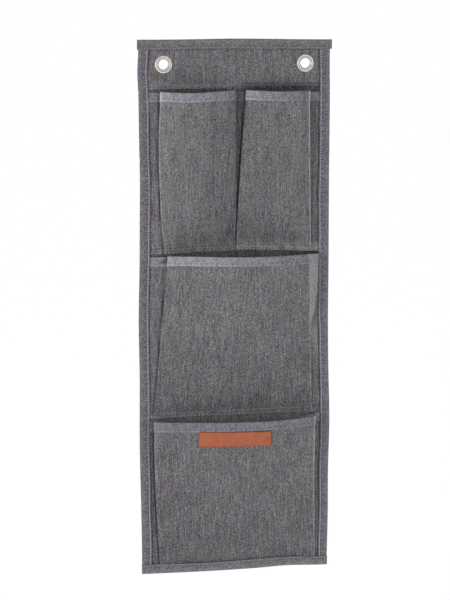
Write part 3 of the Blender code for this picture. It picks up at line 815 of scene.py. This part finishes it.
def eyelet_profile():
    """The cut through an eyelet: three rounded rings with grooves between, the barrel, and the lip.

    Each ring is a flattened half wave, given by its middle's radius, its half width and its height.
    """
    front = LAYER_FRONT - GAP
    rings = []
    for middle, half, height in EYELET_RINGS:
        turn = np.linspace(0.12, math.pi - 0.12, 15)
        rings.append(np.stack([middle + half * np.cos(turn), front - height * np.sin(turn) ** 0.5], 1))
        rings.append(np.array([[middle - half - 0.00022, front]]))
    lip_front = 2 * GAP + 0.0005
    rest = np.array(
        [
            [0.0061, 0.0004],
            [0.0061, lip_front],
            [0.0064, lip_front + 0.0004],
            [0.0070, lip_front + 0.0005],
            [0.0079, lip_front + 0.0004],
            [0.0084, lip_front],
            [0.0068, lip_front],
            [0.0068, 0.0],
            [0.0068, front + 0.0001],
            [0.0090, front + 0.0001],
        ]
    )
    return np.concatenate([*rings[:-1], rest])


def add_eyelets():
    profile = eyelet_profile()
    grooves = [bump(profile[:, 0], radius, 0.00028) for radius in (0.00905, 0.00719)]
    # Painted shade in the grooves between the rings.
    dull = -0.85 * np.sum(grooves, axis=0)
    low, high = GAP, GAP + 0.0005
    inner, outer = EYELET_HOLE, 0.0108
    washer = np.array([[inner, low], [outer, low], [outer, high - 0.0002], [0.0105, high], [inner, high]])
    for name, side in SIDES:
        across, up = EYELET_SHIFTS[side]
        centre = settle(np.array([[side * EYELET_X + across, 0.0, up]]))[0]
        piece = turned_piece("eyelet_ring_" + name, profile, centre, NICKEL, dull)
        finish_piece(piece, "eyelet_metal", "eyelet_" + name)
        piece = turned_piece("washer_ring_" + name, washer, centre, NICKEL, np.zeros(len(washer)))
        finish_piece(piece, "eyelet_metal", "eyelet_washer_" + name)


# Pockets


def bezier_turn(start, end, leave, arrive, count):
    """A round turn between two points: a cubic whose handles follow the two legs.

    For a turn by the angle t over a chord c, each handle is c times a third of the tangent of a quarter
    of t, twice over the sine of half of t. That is nearly a circle.
    """
    chord = np.linalg.norm(end - start, axis=-1, keepdims=True)
    turn = np.arccos(np.clip(np.sum(leave * arrive, axis=-1, keepdims=True), -1.0, 1.0))
    turn = np.maximum(turn, 0.05)
    handle = chord * (4 / 3) * np.tan(turn / 4) / (2 * np.sin(turn / 2))
    t = np.linspace(0.0, 1.0, count, endpoint=False)[:, None, None]
    a, b = start + leave * handle, end - arrive * handle
    return start * (1 - t) ** 3 + 3 * a * t * (1 - t) ** 2 + 3 * b * t**2 * (1 - t) + end * t**3


def straight_leg(start, end, count, power=1.0):
    t = np.linspace(0.0, 1.0, count, endpoint=False)[:, None, None] ** power
    return between(start, end, t)


def between_rows(grid, place):
    """The points of a grid at row numbers that needn't be whole, a list of them for each station."""
    low = np.clip(place.astype(int), 0, grid.shape[1] - 2)
    station = np.arange(len(grid))[:, None]
    return between(grid[station, low], grid[station, low + 1], (place - low)[..., None])


class Pocket:
    """One pocket's cloth as a surface of two parameters: along its width, and up its height.

    seams are the x of its side seams. insets give, for each side, how far the front fold lies inwards of
    the seam at the foot, half way up and at the mouth. creases are how much lighter the two folds are,
    part worn and part painted highlight, and below 0 a painted dark line. popped names a side whose
    pleat has popped out at its top, 0 or 1. openings are how far the two folds stand out at the mouth,
    and bow how much further the middle does. mouth gives the heights of its edge: at the left seam, at
    five even places from fold to fold, and at the right seam. foot_shifts move the foot's ends up or
    down, and flaps are the widths under the side seams. tape_widths are the mouth tape's at its left and
    right end.

    The rest is painted light and shade, in the units that creases use. fades are the mouth tape's at its
    two ends, and tape_pleats its own on the pleats. shades are the front's at its left, right and foot,
    pleat_shades the two pleats', lines the painted shadow beside the two folds, and hems the painted
    light on the foot's hem, left and right, which dies out over hem_band above its edge, and hem_ridge a
    painted highlight along it. The wedge is a painted shadow, a dark triangle on the mouth tape beside
    the left fold, as wide as it is high.
    """

    popped, wedge, hem_ridge, hem_band = None, 0.0, 0.0, (0.0052, 0.0108)

    def __init__(self, name, **measures):
        self.name = name
        vars(self).update(measures)

    def fold_x(self, side, share):
        """The fold's x: a parabola through its three insets."""
        low, middle, high = self.insets[side]
        share = np.clip(share, 0.0, 1.0)
        inset = low + share * (4 * middle - 3 * low - high) + share**2 * (2 * low + 2 * high - 4 * middle)
        return self.seams[side] + (1 - 2 * side) * inset

    def looseness(self, side, share):
        """0 where the pleat is tucked in behind the front, 1 where it has popped out."""
        return ramp(share, 0.40, 0.53) * (self.popped == side)

    def layer_room(self, side, share):
        """How far apart the layers lie at folds: more as the pocket opens, most at the mouth tape."""
        below = (1 - share) * self.height
        room = 0.00075 + 0.0004 * ramp(share, 0.0, 0.3) + 0.0016 * (1 - ramp(below, 0.0125, 0.024))
        return room * (1 - 0.8 * self.looseness(side, share))

    def front_depth(self, across, share):
        """The front's depth: pressed flat at the foot, over the pleats near its folds, standing out upwards.

        The folds stand out evenly with height, the middle bows further as an arch, and a shallow belly
        and slow waves keep it from being ruled.
        """
        share = np.clip(share, 0.0, 1.0)
        width = abs(self.seams[1] - self.seams[0])
        from_fold = np.minimum(across, 1 - across) * width
        base = PRESSED_DEPTH - PLEATS_DEPTH * (1 - ramp(from_fold, 0.014, 0.034))
        opening = between(*self.openings, across)
        arch = 4 * across * (1 - across)
        depth = base - share**1.12 * opening - self.bow * arch * share**1.25
        depth = depth - 0.0014 * arch * np.sin(math.pi * share)
        waves = np.sin(7.0 * across + 5.0 * share + self.hinge * 40) * np.sin(6.0 * share + 2.0 * across)
        return depth - 0.0010 * waves * arch * ramp(share, 0.0, 0.3)

    def side_path(self, side, share):
        """One side's cloth from under the side tape to the front fold, as (stations, rows, x and depth).

        It runs inwards to a hidden crease, back out behind the front, and round the fold. The crease is
        where a circle round the seam meets one of the tuck's radius round the fold. Where the pleat has
        popped out, the crease stands beside the fold, further out the higher it is.
        """
        inward = 1 - 2 * side
        room = self.layer_room(side, share)
        seam = pack(self.seams[side] + inward * 0.0004, np.full(len(share), PRESSED_DEPTH))
        start = seam - (inward * self.flaps[side], 0.0)
        fold = pack(self.fold_x(side, share) + inward * room / 2, self.front_depth(float(side), share))
        behind = fold + pack(0.0, room)
        span = behind - seam
        length = np.linalg.norm(span, axis=-1)
        back = np.maximum(PLEAT_TUCK + inward * span[:, 0], 0.5 * (PLEAT_TUCK + length))
        reach = (back**2 - PLEAT_TUCK**2 + length**2) / (2 * length)
        along = span / length[:, None]
        rise = np.sqrt(np.maximum(back**2 - reach**2, 1e-10))
        crease = seam + along * reach[:, None] + crosswise(along, (inward, 0)) * rise[:, None]
        heights, ways = (0.50, 0.57, 0.63, 0.74, 0.86, 1.0), (0.0, 0.0024, 0.0062, 0.0098, 0.0116, 0.0122)
        beside = np.interp(share, heights, ways)
        popped = fold + pack(-inward * beside, 0.0015 + 0.12 * beside)
        crease = crease + (popped - crease) * self.looseness(side, share)[:, None]
        out = unit(unit(seam - crease) + unit(behind - crease))
        apart = crosswise(out, (0, 1)) * room[:, None] / 2
        turn_in = crease + out * room[:, None] / 2
        back_end, front_start = turn_in + apart, turn_in - apart
        back_leg, front_leg = unit(back_end - seam), unit(behind - front_start)
        ahead = np.tile([float(inward), 0.0], (len(share), 1))
        return np.concatenate(
            [
                straight_leg(start, seam, FLAP_STEPS),
                straight_leg(seam, back_end, BACK_STEPS, 1.6),
                bezier_turn(back_end, front_start, back_leg, front_leg, CREASE_STEPS),
                straight_leg(front_start, behind, LEG_STEPS),
                bezier_turn(behind, fold, front_leg, ahead, FOLD_STEPS),
            ]
        )

    def grid(self, share, stations=90):
        """The whole cloth as points: the left side's path, the front, and the right side's path back.

        Heights grow evenly from the hinge to the mouth's edge. The edge's height is the curve of the
        fourth order through its five places on the front. Along a pleat it goes from the seam's height to
        the fold's, and the hidden crease lies a little lower.
        """
        across = np.linspace(0.0, 1.0, stations)
        x_left = self.fold_x(0, share) + self.layer_room(0, share) / 2
        x_right = self.fold_x(1, share) - self.layer_room(1, share) / 2
        x = x_left + (x_right - x_left) * across[:, None]
        front = pack(x, self.front_depth(across[:, None], share))
        flat = np.concatenate([self.side_path(0, share), front, self.side_path(1, share)[::-1]])
        curve = np.polyfit(np.linspace(0.0, 1.0, 5), self.mouth[1:6], 4)
        stops, ends = np.cumsum([FLAP_STEPS, 9, BACK_STEPS - 9, CREASE_STEPS, LEG_STEPS]), []
        for side, (seam, fold) in enumerate((self.mouth[:2], self.mouth[:-3:-1])):
            hidden = 1 - self.looseness(side, 1.0)
            low = fold - 0.0025 * hidden
            heights = [seam, between(seam, low, 0.35 + 0.25 * hidden), low, low, fold]
            ends.append(np.interp(np.arange(SIDE_STEPS), stops, heights))
        mouth = np.concatenate([ends[0], np.polyval(curve, across), ends[1][::-1]])[:, None]
        places = np.concatenate([np.zeros(SIDE_STEPS), across, np.ones(SIDE_STEPS)])
        shift = between(*self.foot_shifts, places)
        z = self.hinge + np.where(share < 0, share * self.height, share * (mouth - self.hinge))
        z = z + shift[:, None] * (1 - ramp(share, 0.0, 0.4))
        return pack(flat[..., 0], flat[..., 1], z)

    def cloth_wear(self, grid, share, apex, pleats):
        """The cloth's painted light and shade, with its worn folds: even over the front, and more on each
        pleat.

        The front goes from its left painted light and shade to its right one, and on to its foot's. A pleat
        has a painted shadow line beside the side tape and one beside the fold that lies over it, as bells of
        the way sideways. A pleat that has popped out has painted light, and the cloth behind it painted
        shade, but for a patch of painted light below the place where it pops out. apex is the station in the
        middle of the left fold. The cloth behind ends 22 stations before it, in the hidden crease, and the
        popped part starts 2 further on.
        """
        share = np.clip(share, 0.0, 1.0)
        below = (1 - share) * self.height
        in_wedge_rows = 1 - ramp(below, 0.0072, 0.0080)
        station, last = np.arange(len(grid)), len(grid) - 1
        first = apex + FOLD_HALF
        across = np.clip((station - first) / (last - 2 * first), 0.0, 1.0)[:, None]
        wear = between(*self.shades[:2], across) + self.shades[2] * (1 - share) ** 1.5
        for side, index in ((0, station), (1, last - station)):
            loose = self.looseness(side, share)
            to_fold = (1 - 2 * side) * (self.fold_x(side, share) - grid[..., 0])
            dark = self.pleat_shades[side] + pleats[side] - 0.15 * loose
            dark = dark - self.lines[side] * bump(to_fold, 0.0006, 0.0011)
            dark = dark + side_grooves(grid[..., 0], grid[..., 2])
            if self.popped == side:
                dark = dark + 0.62 * bump(share, 0.44, 0.14)
            if side == 0:
                dark = dark - self.wedge * ramp(below - to_fold, -0.0004, 0.0004) * in_wedge_rows
            wear = np.where((index < apex - 22)[:, None], dark, wear)
            wear = wear + ((index > apex - 20) & (index < apex))[:, None] * (0.56 * loose)
        return wear + self.crease_wear(grid, apex) * (0.6 + 0.5 * share)

    def crease_wear(self, grid, apex):
        """Lighter lines along the two pressed front folds, part worn and part painted highlight, as bells of
        the way along the cloth. Below 0 they are painted dark lines.
        """
        run, far, z = way_along(grid), apex + FOLD_HALF, grid[..., 2]
        left, right = 0.5 * (run[apex] + run[far]), 0.5 * (run[-1 - apex] + run[-1 - far])
        wear = self.creases[0] * bump(run, left, 0.0010) + self.creases[1] * bump(run, right, 0.0010)
        return wear * (0.75 + 0.25 * np.sin(180.0 * z) * np.sin(47.0 * z + 1.0))

    def add_cloth(self):
        """The cloth with its foot, which is a flaring hem in all pockets but the lower one.

        The flat map is in metres along the cloth's width, measured half way up, and along its height.
        """
        hemmed = self.name != "lower_pocket"
        edge = -FOOT_DROP / self.height
        steps = np.array([0, 0.1, 0.3, 0.6, 1.0, 2.0, 3.5, 5.0, 5.8, 6.3, 6.8, 7.3, 7.9, 8.7])
        low = edge + 0.001 * steps / self.height
        share = np.concatenate([low, np.linspace(low[-1], 1 - 0.0011 / self.height, 84)[1:]])
        rise = (share - edge) * self.height
        grid = self.grid(share)
        grid[FLAP_STEPS:-FLAP_STEPS, :, 1] -= 0.0009 * bump(rise, 0.0, 0.0035) * hemmed
        x, z, station = grid[..., 0], grid[..., 2], np.arange(len(grid))
        hem = CLOTH + (HEM_THICKNESS - CLOTH) * (1 - ramp(rise, HEM_WIDTH - 0.001, HEM_WIDTH)) * hemmed
        thickness = np.tile(hem * edge_round(rise, HEM_THICKNESS / 2), (len(grid), 1))
        under = np.minimum(station, station[::-1]) <= FLAP_STEPS
        thickness[under] = np.minimum(thickness[under], 0.0006)
        dimples = 1 + 0.35 * np.sin((x + 1.3 * z) * 260.0) * np.sin(x * 97.0 + 2.0)
        hem_shade = between(*self.hems, np.linspace(0.0, 1.0, len(grid))[:, None])
        # Painted light and shade on the foot: a highlight along its edge, the hem's light dying out upward, a
        # highlight along the ridge, the puckers' light and shade, and a dark line at the hem's top.
        wear = self.cloth_wear(grid, share, APEX, (0.0, 0.0)) + 0.35 * bump(rise, 0.0, 0.0010)
        wear = wear + hem_shade * dimples * (1 - ramp(rise, *self.hem_band))
        wear = wear + self.hem_ridge * bump(rise, 0.0046, 0.0018) * dimples
        wear = wear + (hem_puckers(x, rise) - 0.25 * bump(rise, 0.0068, 0.0008)) * hemmed
        run = way_along(grid[:, grid.shape[1] // 2])
        flat = pack((run - run[-1] / 2)[:, None], share * self.height + self.hinge)
        piece = cloth_piece(self.name + "_cloth", settle(grid), thickness, flat, CLOTH_FINISH, wear)
        return piece, (float(np.ptp(flat[:, 0, 0])), self.height + FOOT_DROP)

    def add_tape(self):
        """The mouth tape: down the front, over the edge in a half circle, and down inside.

        The seam pulls it in, as a bell across, and most at its needle holes, as bells along it.
        """
        offset = CLOTH / 2 + GAP + TAPE / 2
        body, below, wear = self.mouth_band(np.linspace(1.0, 0.0, 18))
        body = settle(body)
        normal = grid_normal(body)
        edge, out = body[:, -1:], normal[:, -1:]
        upward = unit(edge - body[:, -2:-1])
        turns = np.linspace(0.0, math.pi, 9)[1:-1, None]
        fold = edge + offset * (out * np.cos(turns) + upward * np.sin(turns))
        run, above = way_along(edge[:, 0]), below[:, :1] - below
        near = (run / MOUTH_PITCH - np.round(run / MOUTH_PITCH)) * MOUTH_PITCH
        seam = bump(above, MOUTH_SEAM_INSET, 0.0008)
        holes = bump(near[:, None], 0.0, 0.0008) * seam
        pull = 0.00010 * seam + 0.00025 * holes
        front = body + normal * (offset - pull)[..., None]
        back = body - normal * (offset - 0.5 * pull)[..., None]
        grid = np.concatenate([front, fold, back[:, ::-1]], axis=1)
        flat = pack(run[:, None], way_along(grid[len(grid) // 2]))
        # Painted light and shade from one end of the tape to the other.
        wear = wear + np.linspace(*self.fades, len(wear))[:, None]
        hem = 0.32 * bump(above, 0.0014, 0.0011) * np.linspace(1.0, 0.35, len(wear))[:, None]
        # Painted shade in the needle holes, and the tape lighter over its top.
        face, top = wear - 1.3 * holes + hem, np.repeat(wear[:, -1:], len(turns), axis=1) + 0.2
        wear = np.concatenate([face, top, face[:, ::-1]], axis=1)
        return cloth_piece(self.name + "_tape", grid, TAPE, flat, MOUTH_FINISH, wear)

    def mouth_band(self, parts):
        """The cloth under the mouth tape, at parts of the tape's width up from its fold.

        It gives the points before they settle, how far each lies below the mouth, and their painted light and
        shade with worn places.
        """
        left, right = (width - BAND_CUT for width in self.tape_widths)
        deep = max(left, right)
        share = 1 - np.linspace(deep, BAND_TOP, BAND_ROWS) / self.height
        grid = self.grid(share, 420)[FLAP_STEPS:-FLAP_STEPS]
        wear = self.cloth_wear(grid, share, APEX - FLAP_STEPS, self.tape_pleats)
        width = np.linspace(left, right, len(grid))[:, None]
        below = BAND_TOP + (width - BAND_TOP) * parts
        place = (deep - below) / (deep - BAND_TOP) * (BAND_ROWS - 1)
        return between_rows(grid, place), below, between_rows(wear[..., None], place)[..., 0]

    def mouth_rows(self):
        """The mouth tape's seam, outside and inside."""
        width = (np.array(self.tape_widths) - BAND_CUT - BAND_TOP).mean()
        low, high = (1 - (MOUTH_SEAM_INSET + step) / width for step in (0.0005, -0.0005))
        body = settle(self.mouth_band(np.array([high, (low + high) / 2, low]))[0])
        path, normal, out = body[:, 1], grid_normal(body)[:, 1], CLOTH / 2 + GAP + TAPE - 0.0003
        return [(path + normal * out, normal), (path - normal * out, -normal)]

    def foot_row(self, above):
        """A seam along the front at a height above the cloth's edge. Near the edge it lies further out."""
        below = self.height + FOOT_DROP - above
        share = 1 - np.array([below + 0.0005, below, below - 0.0005]) / self.height
        body = settle(self.grid(share, 200))
        path, normal = body[APEX:-APEX, 1], grid_normal(body)[APEX:-APEX, 1]
        return path + normal * (HEM_THICKNESS / 2 + (0.0008 if above < 0.003 else 0.0)), normal

    def bend(self, piece):
        """Bakes a piece's transform into its mesh."""
        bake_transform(piece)


LOWER = Pocket(
    "lower_pocket", hinge=-0.6562, height=0.1972, seams=(-0.1125, 0.1125), flaps=(0.008, 0.008),
    insets=((0.0113, 0.0065, 0.0052), (0.0046, 0.0080, 0.0107)), openings=(0.0136, 0.0166), bow=0.0125,
    mouth=(-0.4622, -0.4615, -0.4624, -0.4630, -0.4632, -0.4604, -0.4580), foot_shifts=(0.0, 0.0),
    tape_widths=(0.0148, 0.0126), fades=(-0.34, -0.48), tape_pleats=(0.0, 0.0), creases=(0.45, 1.10),
    shades=(-0.11, -0.06, -0.15), pleat_shades=(-0.16, 0.02), lines=(1.0, 0.6), hems=(0.0, 0.0),
)
MIDDLE = Pocket(
    "middle_pocket", hinge=-0.4500, height=0.2065, seams=(-0.1125, 0.1125), flaps=(0.008, 0.008),
    insets=((0.0052, 0.0156, 0.0222), (0.0115, 0.0136, 0.0188)), openings=(0.0166, 0.0206), bow=0.0130,
    mouth=(-0.2468, -0.2444, -0.2448, -0.2458, -0.2460, -0.2448, -0.2454), foot_shifts=(-0.0017, 0.0002),
    tape_widths=(0.0134, 0.0134), fades=(0.36, -0.59), tape_pleats=(-0.40, 0.0), creases=(0.0, 0.78),
    shades=(0.02, -0.05, -0.20), pleat_shades=(0.02, -0.18), lines=(0.9, 0.0), hems=(0.45, -0.05),
    wedge=1.2, popped=1,
)
UPPER_LEFT = Pocket(
    "upper_left_pocket", hinge=-0.2335, height=0.2000, seams=(-0.1125, -0.0030), flaps=(0.008, 0.0029),
    insets=((0.0192, 0.0118, 0.0144), (-0.0036, -0.0028, -0.0012)), openings=(0.0156, 0.0146), bow=0.0105,
    mouth=(-0.0351, -0.0348, -0.0360, -0.0360, -0.0346, -0.0335, -0.0342), foot_shifts=(-0.0022, 0.0007),
    tape_widths=(0.0130, 0.0128), fades=(0.08, -0.34), tape_pleats=(-0.30, 0.0), creases=(0.7, -0.5),
    shades=(0.18, -0.18, -0.12), pleat_shades=(0.03, 0.0), lines=(0.8, 0.0), hems=(-0.02, 0.45),
    hem_band=(0.006, 0.018),
)
UPPER_RIGHT = Pocket(
    "upper_right_pocket", hinge=-0.2335, height=0.2000, seams=(0.0030, 0.1125), flaps=(0.0029, 0.008),
    insets=((-0.0014, 0.0030, 0.0104), (0.0118, 0.0151, 0.0184)), openings=(0.0106, 0.0156), bow=0.0085,
    mouth=(-0.0352, -0.0335, -0.0344, -0.0350, -0.0347, -0.0343, -0.0358), foot_shifts=(0.0017, -0.0024),
    tape_widths=(0.0132, 0.0132), fades=(0.28, -0.82), tape_pleats=(-0.85, 0.65), creases=(-0.1, 1.8),
    shades=(-0.03, 0.01, -0.11), pleat_shades=(0.10, -0.20), lines=(1.3, 0.0), hems=(0.42, 0.62),
    hem_band=(0.006, 0.018), hem_ridge=0.36,
)
POCKETS = (UPPER_LEFT, UPPER_RIGHT, MIDDLE, LOWER)


def add_label():
    """The label: a rounded strip that follows the lower pocket's front, tilted a little."""
    left, right, tall, thick, drops = -0.0524, 0.0436, 0.0209, 0.0012, (0.0125, 0.0135)
    x, rows = np.linspace(left, right, 110), np.linspace(tall, 0.0, 26)
    share = 1 - np.linspace(drops[1] + tall + 0.001, drops[0] - 0.001, 40) / LOWER.height
    body = settle(LOWER.grid(share, 400))[SIDE_STEPS:-SIDE_STEPS]
    lines = [pack(*(np.interp(x, line[:, 0], part) for part in line.T)) for line in body.swapaxes(0, 1)]
    part = ((x - left) / (right - left))[:, None]
    below = between(*drops, part) + rows
    place = (1 - below / LOWER.height - share[0]) / (share[1] - share[0])
    grid = between_rows(np.stack(lines, axis=1), place)
    grid = grid + grid_normal(grid) * (CLOTH / 2 + GAP + thick / 2)
    near = np.minimum(np.minimum(x - left, right - x)[:, None], np.minimum(rows, tall - rows))
    thickness = thick * edge_round(near + 0.00008, 0.0004)
    # Painted shade along the label's edges and towards its right end.
    wear = -1.3 * bump(near, 0.0, 0.0007) - 0.22 * part
    return cloth_piece("plain_label", grid, thickness, pack(x[:, None], -rows), LEATHER, wear)


# Putting it together


def add_body():
    panel, panel_size = add_panel()
    header, header_size = add_header()
    finish_piece(panel, "organizer_cloth", "back_panel")
    finish_piece(header, "organizer_cloth", "header_facing")
    trims = []
    for name, side in SIDES:
        tape = add_side_tape("side_tape_" + name, side)
        trims.append(finish_piece(tape, "edge_tape", "edge_tape_" + name))
    for name, edge, upward, overhangs, bulge in (
        ("bottom", BOTTOM, 1, (0.0, 0.0), 0.0006),
        ("top", TOP, -1, (0.0012, 0.0020), 0.0),
    ):
        tape = add_cross_tape(name, edge, upward, overhangs, bulge)
        trims.append(finish_piece(tape, "edge_tape", "edge_tape_" + name))
    trims += add_edge_seams()
    front = PRESSED_DEPTH - HEM_THICKNESS / 2 + 0.0003
    row = straight_row((-SIDE_SEAM, HEADER_SEAM), (SIDE_SEAM, HEADER_SEAM), front, -1.0)
    seam = finish_piece(stitch_piece("header_stitches", [row], MOUTH_THREAD), "sewing_thread", "seam_header")
    return panel


def add_foot_seams():
    """Two rows through the foot of the middle pocket, and one through the upper pockets' shared foot."""
    for name, pockets, places in (
        ("middle", (MIDDLE,), (0.0013, 0.0064)),
        ("upper", (UPPER_LEFT, UPPER_RIGHT), (0.0055,)),
    ):
        rows = [pocket.foot_row(above) for pocket in pockets for above in places]
        piece = stitch_piece(name + "_foot_stitches", rows, FINE_THREAD)
        finish_piece(piece, "sewing_thread", f"seam_{name}_foot")


def add_pockets():
    for pocket in POCKETS:
        name = pocket.name
        cloth, size = pocket.add_cloth()
        pleats = [f"{name}_pleat_left", f"{name}_pleat_right"]
        finish_piece(cloth, "organizer_cloth", name + "_front", *pleats, body=None)
        tape = pocket.add_tape()
        pleat_tapes = [f"{name}_pleat_tape_left", f"{name}_pleat_tape_right"]
        finish_piece(tape, "mouth_tape", name + "_mouth_tape", *pleat_tapes, body=None)
        rows = pocket.mouth_rows()
        seam = stitch_piece(name + "_mouth_stitches", rows, MOUTH_THREAD, MOUTH_PITCH, 0.00062, 0.70)
        finish_piece(seam, "sewing_thread", f"seam_{name}_mouth", body=None)
        extras = [tape, seam]
        if pocket is LOWER:
            extras.append(finish_piece(add_label(), "label_leather", "leather_label", body=None))
        foot = "upper_pocket" if name.startswith("upper") else name
        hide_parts(foot + "_foot")
        for piece in [cloth, *extras]:
            pocket.bend(piece)
    low, high = UPPER_LEFT.hinge + 0.001, UPPER_LEFT.hinge + 0.1875
    row = straight_row((0.0, low), (0.0, high), LAYER_FRONT - 0.0002, -1.0)
    finish_piece(stitch_piece("divider_stitches", [row], DARK_THREAD), "sewing_thread", "seam_divider")


def add_key_light():
    place, aim = Vector((-2.6, -2.8, -0.1)), Vector((0.0, 0.0, -0.32))
    data = bpy.data.lights.new("key", "AREA")
    data.shape = "RECTANGLE"
    data.size = data.size_y = 1.4
    data.energy = 33.0
    light = bpy.data.objects.new("key", data)
    light.location = place
    light.rotation_euler = (aim - place).to_track_quat("-Z", "Y").to_euler()
    bpy.context.scene.collection.objects.link(light)


def add_studio():
    """A plain pale floor well below the hanging object, a pale sky and one soft light, low in front.

    The sky looks white but lights the object weakly, and the floor glows a little, so most of the light
    comes from in front and below and the pockets stay dark inside.
    """
    floor = bpy.data.meshes.new("floor")
    reach, depth = 30.0, -1.6
    corners = [(-reach, -reach, depth), (reach, -reach, depth), (reach, reach, depth), (-reach, reach, depth)]
    floor.from_pydata(corners, [], [(0, 1, 2, 3)])
    material, tree, shader = start_finish("pale_floor", (0.90, 0.90, 0.90), 0.9)
    shader.inputs["Emission Color"].default_value = (1.0, 1.0, 1.0, 1.0)
    shader.inputs["Emission Strength"].default_value = 0.62
    floor.materials.append(material)
    piece = bpy.data.objects.new("floor", floor)
    bpy.context.scene.collection.objects.link(piece)
    world = bpy.data.worlds.new("studio")
    world.use_nodes = True
    nodes, links = world.node_tree.nodes, world.node_tree.links
    seen = nodes["Background"]
    seen.inputs["Color"].default_value = (1.0, 1.0, 1.0, 1.0)
    seen.inputs["Strength"].default_value = 1.0
    lighting = nodes.new("ShaderNodeBackground")
    lighting.inputs["Color"].default_value = (1.0, 1.0, 1.0, 1.0)
    lighting.inputs["Strength"].default_value = 0.42
    mix, path = nodes.new("ShaderNodeMixShader"), nodes.new("ShaderNodeLightPath")
    links.new(path.outputs["Is Camera Ray"], mix.inputs[0])
    links.new(lighting.outputs[0], mix.inputs[1])
    links.new(seen.outputs[0], mix.inputs[2])
    links.new(mix.outputs[0], nodes["World Output"].inputs["Surface"])
    bpy.context.scene.world = world
    add_key_light()
    bpy.context.scene.view_settings.view_transform = "Standard"


panel_piece = add_body()
add_eyelets()
add_pockets()
add_foot_seams()
add_studio()
